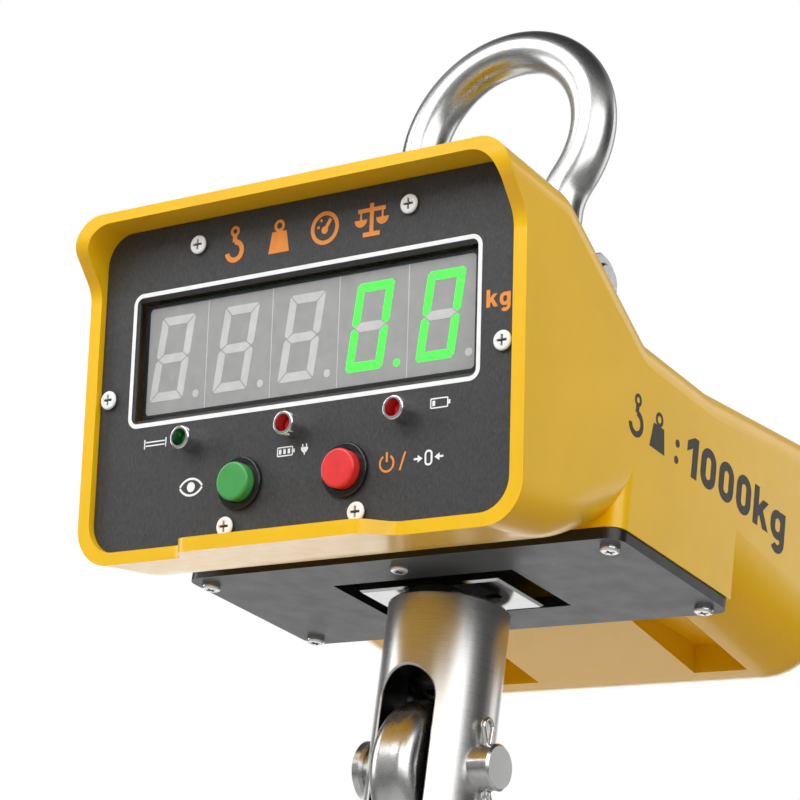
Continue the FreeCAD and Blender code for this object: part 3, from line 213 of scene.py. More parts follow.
def plastic(name, colour, roughness=0.3, grain=0.0004, coat=0.0):
    surface = Surface(name, Coat_Weight=coat, Coat_Roughness=0.1)
    surface.tint(surface.grain(0.004, detail=3.0), *shades(colour, 0.06))
    surface.polish(surface.grain(0.002), roughness - 0.04, roughness + 0.06)
    return surface.relief(surface.grain(grain), 0.00001, 0.5).material


def steel(name, colour, smooth, rough, line=0.00012, stretch=BRUSHED, centre=None, depth=0.000003):
    """Bare metal with tool marks: `stretch` says which way the lines run."""
    surface = Surface(name, Metallic=1.0)
    source = surface.around(centre) if centre else surface.place
    lines = surface.grain(line, stretch, 3.0, source)
    surface.tint(lines, *shades(colour, 0.07))
    surface.polish(lines, smooth, rough)
    return surface.relief(lines, depth, 0.6).material


def slotted_steel(name, colour, smooth, rough, outer, low):
    """Turned steel with painted shade in its slot: dark from 1.4 mm inside the radius `outer`, and clear of its
    low end.
    """
    surface = Surface(name, Metallic=1.0)
    lines = surface.grain(0.00009, TURNED, 3.0)
    axes = surface.add("ShaderNodeSeparateXYZ", {0: surface.place}).outputs
    # painted shade: dark inside the slot, more than 1.4 mm in from the outside and well above the low end
    unshaded_outside = surface.mapped(surface.reach(axes[0], axes[1]), outer - 1.4 * MM, outer - 0.3 * MM)
    unshaded_below = surface.mapped(axes[2], low + 9 * MM, low + 3 * MM)
    unshaded = surface.add("ShaderNodeMath", {0: unshaded_outside, 1: unshaded_below}, operation="MAXIMUM").outputs[0]
    bare = surface.blend(lines, *shades(colour, 0.1))
    surface.colour(surface.mix(unshaded, SLOT_SHADE, bare))
    surface.polish(lines, smooth, rough)
    return surface.relief(lines, 0.000005, 0.6).material


def forged(name, colour, smooth, rough):
    """Tumbled forging: soft low dents and a fine satin grain."""
    surface = Surface(name, Metallic=1.0)
    surface.tint(surface.grain(0.015, detail=4.0), *shades(colour, 0.09))
    surface.polish(surface.grain(0.006, detail=2.0), smooth, rough)
    surface.relief(surface.grain(0.014, detail=1.0), 0.00002, 0.3)
    return surface.relief(surface.grain(0.0004, detail=1.0), 0.0000015, 0.5).material


def clear_acrylic(name):
    surface = Surface(name, Alpha=0.06, IOR=1.49)
    surface.tint(surface.grain(0.05), srgb(60, 64, 62), srgb(90, 94, 92))
    surface.polish(surface.grain(0.02), 0.02, 0.06)
    return surface.material


def glowing(name, colour, strength):
    """A segment or lens lit from behind, a little brighter in places."""
    surface = Surface(name, Emission_Color=colour, Emission_Strength=strength)
    surface.tint(surface.grain(0.002), *shades([value / 2 for value in colour[:3]], 0.08))
    surface.polish(surface.grain(0.001), 0.35, 0.5)
    return surface.material


def circuit_board(name):
    """Solder mask with a faint pattern of tracks under it."""
    surface = Surface(name)
    cells = {"Vector": surface.place, "Scale": 350.0}
    tracks = surface.add("ShaderNodeTexVoronoi", cells, distance="MANHATTAN").outputs["Distance"]
    surface.tint(tracks, srgb(18, 92, 48), srgb(42, 140, 78), 0.1, 0.5)
    surface.polish(surface.grain(0.001), 0.25, 0.4)
    return surface.relief(tracks, 0.00003, 0.5).material


def dress(node, material):
    """Gives every slot of a CAD node the one material."""
    for holder in frame["nodes"][node].material_slots:
        holder.material = material


BOW_CENTRE = (0.0, 0.0, -0.032)
clevis_low, clevis_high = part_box("clevis")
BARE_STEEL = (0.68, 0.675, 0.665, 1)
OFF_WHITE = srgb(250, 250, 249)

finishes = {
    # yellow_paint's second colour is painted shade for the undersides
    "yellow_paint": gloss_paint("yellow_paint", srgb(249, 194, 1), srgb(252, 188, 1)),
    "bow_steel": steel("bow_steel", (0.6, 0.6, 0.593, 1), 0.25, 0.3, stretch=ALONG_BAR, centre=BOW_CENTRE,
                       depth=0.0000008),
    "clevis_steel": slotted_steel("clevis_steel", BARE_STEEL, 0.27, 0.34, clevis_high.x, clevis_low.z),
    "hook_steel": forged("hook_steel", BARE_STEEL, 0.24, 0.3),
    "cell_steel": steel("cell_steel", (0.74, 0.74, 0.735, 1), 0.13, 0.18, line=0.00006, stretch=TURNED),
    "fastener_steel": steel("fastener_steel", (0.82, 0.82, 0.81, 1), 0.12, 0.22, line=0.0004, stretch=EVEN),
    # plate_black's second colour is painted shade for its edges
    "plate_black": coated_plate("plate_black", srgb(74, 74, 75), srgb(30, 30, 31), 0.33),
    "panel_black": leather_panel("panel_black", srgb(58, 58, 59)),
    "clear_window": clear_acrylic("clear_window"),
    "digit_grey": plastic("digit_grey", srgb(180, 180, 179), 0.36),
    "circuit_green": circuit_board("circuit_green"),
    "led_green": glowing("led_green", srgb(10, 110, 40), 0.12),
    "led_red": glowing("led_red", srgb(215, 8, 14), 0.2),
    "button_green": plastic("button_green", srgb(70, 160, 80), 0.35, coat=0.3),
    "button_red": plastic("button_red", srgb(234, 52, 54), 0.35, coat=0.3),
    "black_plastic": plastic("black_plastic", srgb(34, 34, 35), 0.22),
    "holder_chrome": steel("holder_chrome", (0.86, 0.86, 0.86, 1), 0.06, 0.16),
    "black_rubber": plastic("black_rubber", srgb(30, 30, 31), 0.62, 0.0009),
    "battery_case": plastic("battery_case", srgb(74, 78, 92), 0.45),
    "tray_steel": steel("tray_steel", (0.66, 0.67, 0.68, 1), 0.24, 0.4, line=0.003, stretch=EVEN),
    "white_nylon": plastic("white_nylon", srgb(228, 226, 214), 0.45),
    "tab_brass": steel("tab_brass", (0.83, 0.64, 0.28, 1), 0.18, 0.34, line=0.0005, stretch=EVEN),
    "latch_zinc": steel("latch_zinc", (0.74, 0.74, 0.74, 1), 0.2, 0.36),
}
white_ink = plastic("white_ink", OFF_WHITE, 0.5)
orange_ink = plastic("orange_ink", srgb(242, 147, 58), 0.5)
grey_ink = plastic("grey_ink", srgb(62, 56, 48), 0.5)
pin_steel = steel("pin_steel", (0.72, 0.72, 0.712, 1), 0.2, 0.27, line=0.0005, stretch=EVEN, depth=0.000001)
segment_lit = glowing("segment_lit", srgb(86, 255, 86), 0.92)
segment_unlit = plastic("segment_unlit", srgb(228, 228, 227), 0.4)
# painted shadow: the black of the window's shaded inner walls, laid on the modules' faces
wall_shadow_black = plastic("wall_shadow_black", srgb(26, 26, 27), 0.35)

for subpart in frame["record"]["subparts"]:
    dress(subpart["node"], finishes[subpart["material_slot"]])
dress("hook_pin", pin_steel)


# ---------------------------------------------------------------- panel frame

button = next(joint for joint in frame["joints"] if joint["name"] == "green_button_press")
PANEL_OUT = -Vector(button["axis"]).normalized()
ACROSS = Vector((1, 0, 0))
PANEL_UP = PANEL_OUT.cross(ACROSS)
WINDOW_UP = -0.45 * MM      # from the panel's origin to the middle of the clear window
WINDOW_OUT = -2.7 * MM
window_low, window_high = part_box("display_window")
PANEL_ORIGIN = (window_low + window_high) / 2 - PANEL_UP * WINDOW_UP - PANEL_OUT * WINDOW_OUT


def panel_matrix(across=0.0, up=0.0, out=0.0):
    """From a flat drawing in millimetres to the panel, at a place given in millimetres."""
    turn = Matrix((ACROSS, PANEL_UP, PANEL_OUT)).transposed().to_4x4()
    spot = PANEL_ORIGIN + (ACROSS * across + PANEL_UP * up + PANEL_OUT * out) * MM
    return Matrix.Translation(spot) @ turn @ Matrix.Scale(MM, 4)


def painted_screw(name, colour, shadow, level):
    """White screw heads, with painted shade in the cross and under the rim: dark below `level` millimetres above
    the panel.
    """
    surface = Surface(name)
    height = surface.add("ShaderNodeVectorMath", {0: surface.place, 1: PANEL_OUT}, operation="DOT_PRODUCT")
    base = PANEL_ORIGIN.dot(PANEL_OUT) + level * MM
    raised = surface.mapped(height.outputs["Value"], base - 0.1 * MM, base + 0.1 * MM)
    dark, light = shades(colour, 0.03)
    worn = surface.mix(surface.grain(0.001), dark, light)
    # painted shade: below the level the head takes the shadow colour
    surface.colour(surface.mix(raised, shadow, worn))
    surface.polish(surface.grain(0.0006), 0.22, 0.34)
    return surface.relief(surface.grain(0.0003), 0.000006, 0.4).material


dress("panel_screws", painted_screw("screw_white", OFF_WHITE, srgb(70, 67, 64), 0.75))


# ---------------------------------------------------------------- flat drawings, in millimetres

INK = 0.06              # thickness of printing
ARC_POINTS = 30
CORNER_STEPS = 8
MIN_CORNER = 0.1
WELD_DRAWN = 1e-5       # points nearer than this are one: in millimetres in a drawing,
WELD_PLACED = 1e-7      # and in metres once it is in place


def circle(x, y, radius, start=0.0, end=360.0, steps=40):
    angles = [math.radians(start + (end - start) * step / steps) for step in range(steps)]
    return [(x + radius * math.cos(angle), y + radius * math.sin(angle)) for angle in angles]


def ring(x, y, radius, width):
    return [circle(x, y, radius), circle(x, y, radius - width)]


def arc(x, y, radius, width, start, end):
    """A band of a circle with square ends, anticlockwise from start to end in degrees."""
    stop = end + (end - start) / (ARC_POINTS - 1)
    outer = circle(x, y, radius, start, stop, ARC_POINTS)
    inner = circle(x, y, radius - width, start, stop, ARC_POINTS)
    return [outer + inner[::-1]]


def bar(x0, y0, x1, y1, width):
    """A straight stroke between two points."""
    run = Vector((x1 - x0, y1 - y0)).normalized() * width / 2
    return [[(x0 - run.y, y0 + run.x), (x0 + run.y, y0 - run.x),
             (x1 + run.y, y1 - run.x), (x1 - run.y, y1 + run.x)]]


def rounded(x0, y0, x1, y1, radius):
    corners = ((x1 - radius, y1 - radius, 0), (x0 + radius, y1 - radius, 90),
               (x0 + radius, y0 + radius, 180), (x1 - radius, y0 + radius, 270))
    sweep = 90 + 90 / CORNER_STEPS
    return [point for x, y, start in corners
            for point in circle(x, y, radius, start, start + sweep, CORNER_STEPS + 1)]


def frame_line(x0, y0, x1, y1, radius, width):
    """A rounded rectangle's outline of the given width."""
    return [rounded(x0, y0, x1, y1, radius),
            rounded(x0 + width, y0 + width, x1 - width, y1 - width, max(radius - width, MIN_CORNER))]


def raise_shape(outlines, thickness):
    """A closed solid object from one flat shape: its first outline is the edge and the rest are holes."""
    curve = bpy.data.curves.new("drawing", "CURVE")
    curve.dimensions = "2D"
    curve.fill_mode = "BOTH"
    curve.extrude = thickness / 2
    for outline in outlines:
        spline = curve.splines.new("POLY")
        spline.points.add(len(outline) - 1)
        for point, (x, y) in zip(spline.points, outline):
            point.co = (x, y, 0, 1)
        spline.use_cyclic_u = True
    holder = bpy.data.objects.new("drawing", curve)
    mesh = bpy.data.meshes.new_from_object(holder)
    bpy.data.objects.remove(holder)
    bpy.data.curves.remove(curve)
    solid = bmesh.new()
    solid.from_mesh(mesh)
    bmesh.ops.remove_doubles(solid, verts=solid.verts, dist=WELD_DRAWN)
    bmesh.ops.recalc_face_normals(solid, faces=solid.faces)
    solid.to_mesh(mesh)
    solid.free()
    return bpy.data.objects.new("drawing", mesh)


def thicken(shapes, thickness):
    """One mesh of flat shapes, joined into one solid wherever they overlap."""
    solids = [raise_shape(outlines, thickness) for outlines in shapes]
    for solid in solids:
        bpy.context.scene.collection.objects.link(solid)
    for solid in solids[1:]:
        union = solids[0].modifiers.new("union", "BOOLEAN")
        union.operation = "UNION"
        union.object = solid
    depsgraph = bpy.context.evaluated_depsgraph_get()
    mesh = bpy.data.meshes.new_from_object(solids[0].evaluated_get(depsgraph))
    joined = bmesh.new()
    joined.from_mesh(mesh)
    bpy.data.meshes.remove(mesh)
    for solid in solids:
        bpy.data.meshes.remove(solid.data)
    return joined


def make_piece(name, drawing, place, material, body="housing"):
    """A finished mesh piece from a drawing, put in place and fixed to a body."""
    drawing.transform(place)
    bmesh.ops.remove_doubles(drawing, verts=drawing.verts, dist=WELD_PLACED)
    bmesh.ops.recalc_face_normals(drawing, faces=drawing.faces)
    mesh = bpy.data.meshes.new(name)
    drawing.to_mesh(mesh)
    drawing.free()
    mesh.materials.append(material)
    piece = bpy.data.objects.new(name, mesh)
    bpy.context.scene.collection.objects.link(piece)
    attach(piece, body)


# Plain figures and letters, drawn 14.4 mm high from x = 0 on the line y = 0: (shapes, width).
GLYPHS = {
    "1": ([[[(3.7, 0), (7.2, 0), (7.2, 14.4), (4.4, 14.4), (0.2, 11.9), (0.2, 8.1), (3.7, 10.3)]]], 7.2),
    "0": ([[rounded(0, 0, 9.9, 14.4, 4.9), rounded(3.4, 3.2, 6.5, 11.2, 1.5)]], 9.9),
    "k": ([[[(0, 0), (3.4, 0), (3.4, 14.4), (0, 14.4)]],
           [[(2.8, 2.6), (10.2, 10.6), (6.2, 10.6), (2.8, 6.9)]],
           [[(3.9, 4.9), (6.3, 7.2), (10.8, 0), (6.9, 0)]]], 10.2),
    "g": ([[rounded(0, 0, 9.6, 10.8, 4.7), rounded(3.3, 2.9, 6.8, 7.9, 1.7)],
           [[(6.8, -0.2), (10.2, -0.2), (10.2, 10.8), (6.8, 10.8)]],
           arc(5.3, -0.1, 4.9, 3.1, -140, 0)], 10.2),
}
GLYPH_GAP = 2.1


def lettering(text, size, thickness):
    """Drawn figures, `size` times their full size, standing on y = 0 from x = 0."""
    shapes, start = [], 0.0
    for glyph in text:
        drawn, width = GLYPHS[glyph]
        for outlines in drawn:
            shapes.append([[((x + start) * size, y * size) for x, y in outline] for outline in outlines])
        start += width + GLYPH_GAP
    return thicken(shapes, thickness)


# ---------------------------------------------------------------- window surround and digits

SURROUND = (-72.0, -24.35, 72.0, 23.45)
SURROUND_CORNER = 4.0
SURROUND_WIDTH = 1.5

surround = frame_line(*SURROUND, SURROUND_CORNER, SURROUND_WIDTH)
make_piece("window_surround_print", thicken([surround], INK), panel_matrix(out=INK), white_ink)

DIGIT_PITCH = 27.7
DIGIT_FACE = -3.7
DIGIT_HALF_WIDE = 7.35
DIGIT_HALF_HIGH = 14.75
STROKE = 3.1
GAP = 0.28
CORNER_CUT = 0.9
SIDE_TIP = 1.3          # how near the level middle line a side stroke's outer edge comes
TIP_INSET = 1.0         # how far inside the figure's edge the side and middle strokes' points meet
SLANT = 0.146
DIGIT_SHIFT = -1.2      # the figure stands left of its module's middle, to leave room for the point
POINT_PLACE = (9.75, -13.7)
POINT_RADIUS = 1.35
SEGMENT_THICK = 0.08
MIDDLE_DIGIT = 3
WALL_SHADOW_LIFT = 0.16
WALL_SHADOW_CORNER = 1.5
JOIN_LIFT = 0.05
JOIN_WIDTH = 0.35
JOIN_LOW, JOIN_HIGH = -20.3, 19.5


def segments():
    """The seven strokes of a figure, by name, upright and centred."""
    a, b, t, g, cut = DIGIT_HALF_WIDE, DIGIT_HALF_HIGH, STROKE, GAP, CORNER_CUT
    tip = a - TIP_INSET
    level = [(-a + cut + g, b), (a - cut - g, b), (a - g - cut / 3, b - cut / 3), (a - t - g, b - t),
             (-a + t + g, b - t), (-a + g + cut / 3, b - cut / 3)]
    side = [(a - cut / 3, b - g - cut / 3), (a, b - cut - g), (a, SIDE_TIP), (tip, g),
            (a - t, t / 2 + g), (a - t, b - t - g)]
    middle = [(-tip + g, 0), (-a + t + g, t / 2), (a - t - g, t / 2),
              (tip - g, 0), (a - t - g, -t / 2), (-a + t + g, -t / 2)]
    return {"top": level, "bottom": [(x, -y) for x, y in level], "middle": middle,
            "upper_right": side, "upper_left": [(-x, y) for x, y in side],
            "lower_right": [(x, -y) for x, y in side], "lower_left": [(-x, -y) for x, y in side]}


def figure(number, lit):
    """One digit of the display: lit strokes in one piece, and the unlit ones in another."""
    drawn = {name: [[(x + y * SLANT + DIGIT_SHIFT, y) for x, y in outline]]
             for name, outline in segments().items()}
    drawn["point"] = [circle(*POINT_PLACE, POINT_RADIUS)]
    shining = [shape for name, shape in drawn.items() if name in lit]
    dark = [shape for name, shape in drawn.items() if name not in lit]
    place = panel_matrix(across=(number - MIDDLE_DIGIT) * DIGIT_PITCH, out=DIGIT_FACE + SEGMENT_THICK / 2)
    if shining:
        make_piece(f"digit_{number}_lit", thicken(shining, SEGMENT_THICK), place, segment_lit)
    make_piece(f"digit_{number}_unlit", thicken(dark, SEGMENT_THICK), place, segment_unlit)


ZERO = {"top", "bottom", "upper_right", "upper_left", "lower_right", "lower_left"}
for number, lit in enumerate((set(), set(), set(), ZERO | {"point"}, ZERO), start=1):
    figure(number, lit)

# A black border on the modules' faces, a painted shadow of the window's inner walls, seen between them and the
# edge of the window.
mask = [[(-69.2, -20.5), (69.2, -20.5), (69.2, 19.6), (-69.2, 19.6)],
        rounded(-67.4, -19.3, 67.4, 18.6, WALL_SHADOW_CORNER)]
make_piece("display_wall_shadow", thicken([mask], SEGMENT_THICK), panel_matrix(out=DIGIT_FACE + WALL_SHADOW_LIFT),
           wall_shadow_black)

edges = [half_pitches * DIGIT_PITCH / 2 for half_pitches in (-3, -1, 1, 3)]
joins = [bar(edge, JOIN_LOW, edge, JOIN_HIGH, JOIN_WIDTH) for edge in edges]
make_piece("digit_module_joins", thicken(joins, SEGMENT_THICK), panel_matrix(out=DIGIT_FACE + JOIN_LIFT),
           segment_unlit)


# ---------------------------------------------------------------- pictures on the panel

def hook_picture(size):
    """A lifting hook under a ring."""
    s = size / 10
    return [ring(0, 4.1 * s, 1.6 * s, 0.9 * s), bar(0, 3.0 * s, 0, 0.9 * s, 1.5 * s),
            arc(0, -1.7 * s, 3.4 * s, 1.5 * s, 190, 450)]


def weight_picture(size):
    """A weight with a ring on top."""
    s = size / 10
    return [[[(-3.6 * s, -4.6 * s), (3.6 * s, -4.6 * s), (2.5 * s, 1.6 * s), (-2.5 * s, 1.6 * s)]],
            ring(0, 3.2 * s, 1.8 * s, 0.9 * s)]


def dial_picture(size):
    """A dial with its needle."""
    s = size / 10
    return [ring(0, 0, 4.8 * s, 1.2 * s), bar(0, -0.6 * s, 2.0 * s, 2.4 * s, 1.1 * s),
            [circle(0, -0.6 * s, 1.1 * s)], bar(-2.6 * s, 0.4 * s, -1.8 * s, 0.4 * s, 0.7 * s),
            bar(-1.5 * s, 2.6 * s, -1.0 * s, 2.0 * s, 0.7 * s)]


def balance_picture(size):
    """A beam balance."""
    s = size / 10
    pans = [arc(side * 3.6 * s, 0.2 * s, 2.1 * s, 2.0 * s, 180, 360) for side in (-1, 1)]
    cords = [bar(side * 3.6 * s, 2.6 * s, side * 3.6 * s, 0.0, 0.6 * s) for side in (-1, 1)]
    beam = bar(-4.6 * s, 2.7 * s, 4.6 * s, 2.7 * s, 1.2 * s)
    post = bar(0, 4.6 * s, 0, -3.9 * s, 1.3 * s)
    foot = bar(-2.8 * s, -4.2 * s, 2.8 * s, -4.2 * s, 1.3 * s)
    return pans + cords + [beam, post, foot]


def battery_picture(size, level):
    """A battery, `level` of its three bars full."""
    s = size / 4
    middles = [(-2.6 + 2.0 * count) * s for count in range(level)]
    bars = [bar(middle, -0.9 * s, middle, 0.9 * s, 1.1 * s) for middle in middles]
    case = frame_line(-4.0 * s, -1.8 * s, 3.2 * s, 1.8 * s, 0.5 * s, 0.45 * s)
    return bars + [case, bar(3.3 * s, 0, 4.0 * s, 0, 1.4 * s)]


def plug_picture(size):
    """A plug with two pins and a short lead."""
    s = size / 4
    pins = [bar(x * s, 1.8 * s, x * s, 0.8 * s, 0.5 * s) for x in (-0.8, 0.8)]
    body = [[(-1.5 * s, 0.7 * s), (1.5 * s, 0.7 * s), (1.5 * s, -0.2 * s),
             (0.6 * s, -1.2 * s), (-0.6 * s, -1.2 * s), (-1.5 * s, -0.2 * s)]]
    return pins + [body, bar(0, -1.2 * s, 0, -2.0 * s, 0.5 * s)]


def level_picture(size):
    """A steady reading: a level line between two stops."""
    s = size / 4
    lines = [bar(-4.6 * s, y * s, 4.6 * s, y * s, 0.5 * s) for y in (0.7, -0.7)]
    stops = [bar(x * s, -1.8 * s, x * s, 1.8 * s, 0.5 * s) for x in (-5.2, 5.2)]
    return lines + stops


def eye_picture(size):
    s = size / 6
    return [arc(0, -2.6 * s, 5.6 * s, 0.7 * s, 32, 148), arc(0, 2.6 * s, 5.6 * s, 0.7 * s, 212, 328),
            [circle(0, 0, 1.6 * s)]]


def power_picture(size):
    s = size / 6
    return [arc(0, -0.2 * s, 2.9 * s, 0.7 * s, 122, 418), bar(0, 0.2 * s, 0, 3.3 * s, 0.75 * s)]


def zero_picture(size):
    """An arrow each side of a nought."""
    s = size / 6
    nought = [rounded(-1.6 * s, -2.7 * s, 1.6 * s, 2.7 * s, 1.5 * s),
              rounded(-0.9 * s, -2.0 * s, 0.9 * s, 2.0 * s, 0.8 * s)]
    arrows = [[[(side * 2.4 * s, 0), (side * 4.4 * s, 1.3 * s), (side * 4.4 * s, -1.3 * s)]]
              for side in (-1, 1)]
    stems = [bar(side * 4.3 * s, 0, side * 6.0 * s, 0, 0.7 * s) for side in (-1, 1)]
    return [nought] + arrows + stems


TITLE_UP = 34.9
TITLE_SIZE = 12.0
TITLE_START = -28.5
TITLE_PITCH = 19.0
TITLES = {"hook": hook_picture, "weight": weight_picture, "dial": dial_picture, "balance": balance_picture}
for position, (name, picture) in enumerate(TITLES.items()):
    place = panel_matrix(TITLE_START + TITLE_PITCH * position, TITLE_UP, INK)
    make_piece(f"title_{name}_print", thicken(picture(TITLE_SIZE), INK), place, orange_ink)

LABELS = {      # drawing, place across and up the panel, and ink
    "stable": (level_picture(3.6), -59.2, -30.4, white_ink),
    "charge_battery": (battery_picture(3.6, 3), -3.0, -39.2, white_ink),
    "charge_plug": (plug_picture(3.8), 4.6, -39.2, white_ink),
    "low_battery": (battery_picture(3.8, 1), 57.4, -30.0, white_ink),
    "view": (eye_picture(6.4), -42.5, -47.2, white_ink),
    "power": (power_picture(6.2), 37.5, -47.2, orange_ink),
    "divider": ([bar(-1.0, -2.9, 1.0, 2.9, 0.7)], 43.6, -47.2, orange_ink),
    "zero": (zero_picture(5.6), 53.5, -47.2, white_ink),
}
for name, (shapes, across, up, ink) in LABELS.items():
    make_piece(f"{name}_print", thicken(shapes, INK), panel_matrix(across, up, INK), ink)

UNIT_SIZE = 0.4
make_piece("unit_print", lettering("kg", UNIT_SIZE, INK), panel_matrix(73.9, -1.6, INK), orange_ink)


# ---------------------------------------------------------------- capacity marking on the right side

SIDE_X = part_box("main_housing")[1].x
MARK_BASE = -172.3          # height of the line that the figures stand on
MARK_START = -1.0
MARK_LENGTH = 73.5
MARK_PICTURE = 14.0         # size of the two pictures, and the height of their middles above the line
MARK_MIDDLE = 7.0
MARK_DOT = 1.4
SIDE_TURN = Matrix(((0, 0, 1), (1, 0, 0), (0, 1, 0))).to_4x4()     # along +Y, up +Z, out +X


def side_matrix(along, up):
    """From a flat drawing in millimetres to the right side, above the line of the marking."""
    spot = Vector((SIDE_X + INK * MM / 2, along * MM, (MARK_BASE + up) * MM))
    return Matrix.Translation(spot) @ SIDE_TURN @ Matrix.Scale(MM, 4)


figures = lettering("1000kg", 1.0, INK)
drawn_length = max(vertex.co.x for vertex in figures.verts)
figures.transform(Matrix.Scale(MARK_LENGTH / drawn_length, 4, (1, 0, 0)))
make_piece("capacity_figures_print", figures, side_matrix(MARK_START, 0.0), grey_ink)

dots = [[circle(0, height, MARK_DOT)] for height in (2.2, 8.0)]
MARKS = {       # drawing, and its place along and above the line
    "hook": (hook_picture(MARK_PICTURE), -35.0, MARK_MIDDLE),
    "weight": (weight_picture(MARK_PICTURE), -20.5, MARK_MIDDLE),
    "dots": (dots, -7.5, 0.0),
}
for name, (shapes, along, up) in MARKS.items():
    make_piece(f"capacity_{name}_print", thicken(shapes, INK), side_matrix(along, up), grey_ink)


# ---------------------------------------------------------------- floor, light and camera

FLOOR_DROP = 0.6        # metres below the scale's lowest point
FLOOR_HALF = 5000       # the floor's half width, corner radius and thickness are in millimetres
FLOOR_CORNER = 900
FLOOR_THICK = 20.0
FLOOR_LIFT = 0.6        # brings the floor nearer to the white background, without lighting the scale
FLOOR_NEAR = 1.0        # metres: from here outward the floor pales,
FLOOR_FAR = 2.8         # and from here on it is as white as the background


def make_floor():
    """A plain pale floor with softly rounded corners, well below the hanging scale."""
    outline = rounded(-FLOOR_HALF, -FLOOR_HALF, FLOOR_HALF, FLOOR_HALF, FLOOR_CORNER)
    drawing = thicken([[outline]], FLOOR_THICK)
    height = cad_bounds[0].z - FLOOR_DROP
    drawing.transform(Matrix.Translation((0, 0, height)) @ Matrix.Scale(MM, 4))
    mesh = bpy.data.meshes.new("floor")
    drawing.to_mesh(mesh)
    drawing.free()
    surface = Surface("floor_pale", Emission_Color=WHITE)
    surface.tint(surface.grain(0.4), srgb(206, 206, 205), srgb(214, 214, 213))
    surface.polish(surface.grain(0.1), 0.6, 0.7)
    seen = surface.add("ShaderNodeLightPath").outputs["Is Camera Ray"]
    place = surface.add("ShaderNodeNewGeometry").outputs["Position"]
    distance = surface.add("ShaderNodeVectorMath", {0: place}, operation="LENGTH").outputs["Value"]
    paleness = surface.mapped(distance, FLOOR_NEAR, FLOOR_FAR, FLOOR_LIFT, 1.0)
    lift = surface.add("ShaderNodeMath", {0: seen, 1: paleness}, operation="MULTIPLY").outputs[0]
    surface.tree.links.new(lift, surface.shader.inputs["Emission Strength"])
    mesh.materials.append(surface.material)
    floor = bpy.data.objects.new("floor", mesh)
    bpy.context.scene.collection.objects.link(floor)


def light_card(name, spot, target, width, height, power):
    """A soft box that lights and is reflected, but that the camera doesn't see."""
    data = bpy.data.lights.new(name, "AREA")
    data.shape = "RECTANGLE"
    data.size = width
    data.size_y = height
    data.energy = power
    card = bpy.data.objects.new(name, data)
    card.location = spot
    card.rotation_euler = (target - spot).to_track_quat("-Z", "Y").to_euler()
    card.visible_camera = False
    bpy.context.scene.collection.objects.link(card)


def compass(azimuth, elevation):
    """A direction from its angle round from +X and its height above the horizon, in degrees."""
    turn, height = math.radians(azimuth), math.radians(elevation)
    return Vector((math.cos(height) * math.cos(turn), math.cos(height) * math.sin(turn), math.sin(height)))


SKY_LIGHT = 0.30
GAP_LIGHT = 0.04
GLOW_LIGHT = 1.5
# Each patch of sky: its direction, and how many degrees from it the patch starts to fade and is gone.
BACK_GLOW = (compass(124, 2), 12, 34)
GAPS = [(compass(0, 90), 26, 46), (compass(27, 22), 12, 26), (compass(178, 22), 10, 22)]


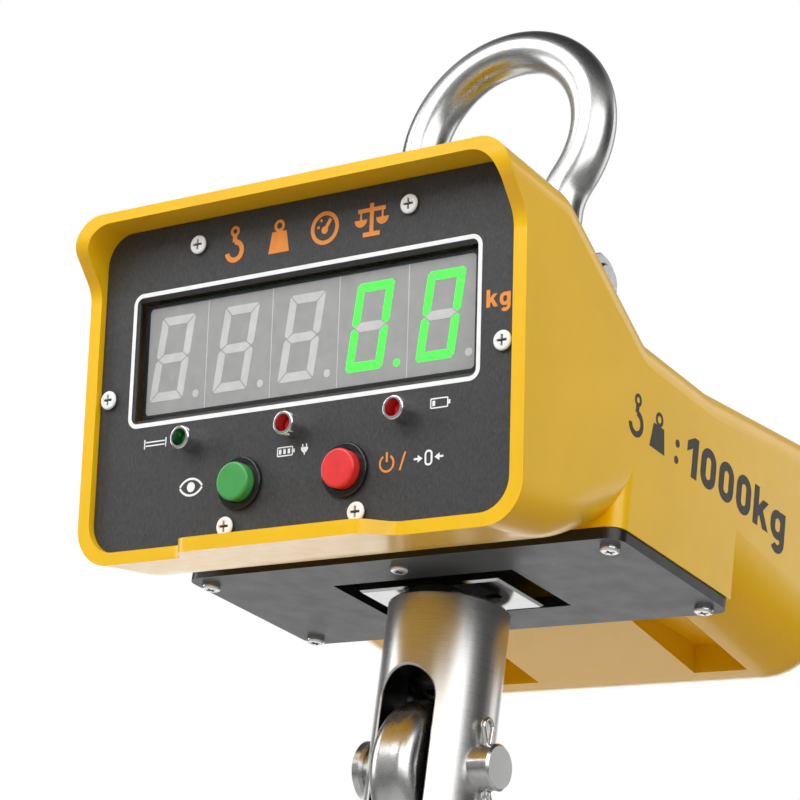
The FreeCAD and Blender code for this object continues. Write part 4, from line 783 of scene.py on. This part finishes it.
def studio_world():
    """White all round for the camera; for reflections, dark gaps, and a glow low down behind the scale."""
    world = bpy.data.worlds.new("studio")
    world.use_nodes = True
    bpy.context.scene.world = world
    tree = world.node_tree
    tree.nodes.clear()

    def add(kind, inputs=None, **settings):
        return add_node(tree, kind, inputs, **settings).outputs[0]

    direction = add_node(tree, "ShaderNodeTexCoord").outputs["Generated"]

    def away(facing, near, far):
        """0 inside the patch of sky round the direction `facing`, and 1 well away from it."""
        dot = add_node(tree, "ShaderNodeVectorMath", {0: direction, 1: facing}, operation="DOT_PRODUCT")
        inputs = {"Value": dot.outputs["Value"], "From Min": math.cos(math.radians(far)),
                  "From Max": math.cos(math.radians(near)), "To Min": 1.0, "To Max": 0.0}
        return add("ShaderNodeMapRange", inputs, interpolation_type="SMOOTHSTEP")

    open_sky = away(*GAPS[0])
    for patch in GAPS[1:]:
        open_sky = add("ShaderNodeMath", {0: open_sky, 1: away(*patch)}, operation="MULTIPLY")
    plain = add("ShaderNodeMapRange", {"Value": open_sky, "To Min": GAP_LIGHT, "To Max": SKY_LIGHT})
    glow = add("ShaderNodeMapRange", {"Value": away(*BACK_GLOW), "To Min": GLOW_LIGHT, "To Max": 0.0})
    brightness = add("ShaderNodeMath", {0: plain, 1: glow}, operation="ADD")
    lit = add("ShaderNodeBackground", {"Color": WHITE, "Strength": brightness})
    seen = add("ShaderNodeBackground", {"Color": WHITE, "Strength": 1.0})
    camera_ray = add_node(tree, "ShaderNodeLightPath").outputs["Is Camera Ray"]
    mixed = add("ShaderNodeMixShader", {0: camera_ray, 1: lit, 2: seen})
    add_node(tree, "ShaderNodeOutputWorld", {"Surface": mixed})


make_floor()
studio_world()
middle = (cad_bounds[0] + cad_bounds[1]) / 2
CARDS = {       # direction, distance, width, height and power of each soft box
    "front_card": (compass(-38, 20), 1.5, 1.8, 1.2, 14.0),
    "left_card": (compass(-155, 18), 1.5, 0.6, 1.1, 6.0),
    "fill_card": (compass(-107, 34), 1.6, 1.1, 1.0, 14.0),
    "back_card": (compass(68, 24), 1.5, 0.5, 1.1, 2.2),
    "under_card": (compass(133, -34), 0.9, 0.8, 0.6, 1.2),
}
for name, (direction, distance, width, height, power) in CARDS.items():
    light_card(name, middle + direction * distance, middle, width, height, power)

CAMERA_AZIMUTH = math.radians(37.31)
CAMERA_ELEVATION = math.radians(-21.59)
CAMERA_ROLL = math.radians(7.62)
CAMERA_DISTANCE = 0.936
CAMERA_LENS = 114.1
CAMERA_SENSOR = 36.0
CAMERA_NEAREST = 0.01
CAMERA_TARGET = Vector((-0.03385, 0.0, -0.1299))


def make_camera():
    """A long lens from below and to the right of the front panel, rolled a little."""
    back = Vector((math.sin(CAMERA_AZIMUTH) * math.cos(CAMERA_ELEVATION),
                   -math.cos(CAMERA_AZIMUTH) * math.cos(CAMERA_ELEVATION), math.sin(CAMERA_ELEVATION)))
    right = Vector((math.cos(CAMERA_AZIMUTH), math.sin(CAMERA_AZIMUTH), 0))
    up = back.cross(right)
    side = right * math.cos(CAMERA_ROLL) + up * math.sin(CAMERA_ROLL)
    top = up * math.cos(CAMERA_ROLL) - right * math.sin(CAMERA_ROLL)
    data = bpy.data.cameras.new("camera")
    data.sensor_width = CAMERA_SENSOR
    data.lens = CAMERA_LENS
    data.clip_start = CAMERA_NEAREST
    camera = bpy.data.objects.new("camera", data)
    turn = Matrix((side, top, back)).transposed().to_4x4()
    camera.matrix_world = Matrix.Translation(CAMERA_TARGET + back * CAMERA_DISTANCE) @ turn
    bpy.context.scene.collection.objects.link(camera)
    bpy.context.scene.camera = camera


make_camera()
bpy.context.scene.view_settings.view_transform = "Standard"
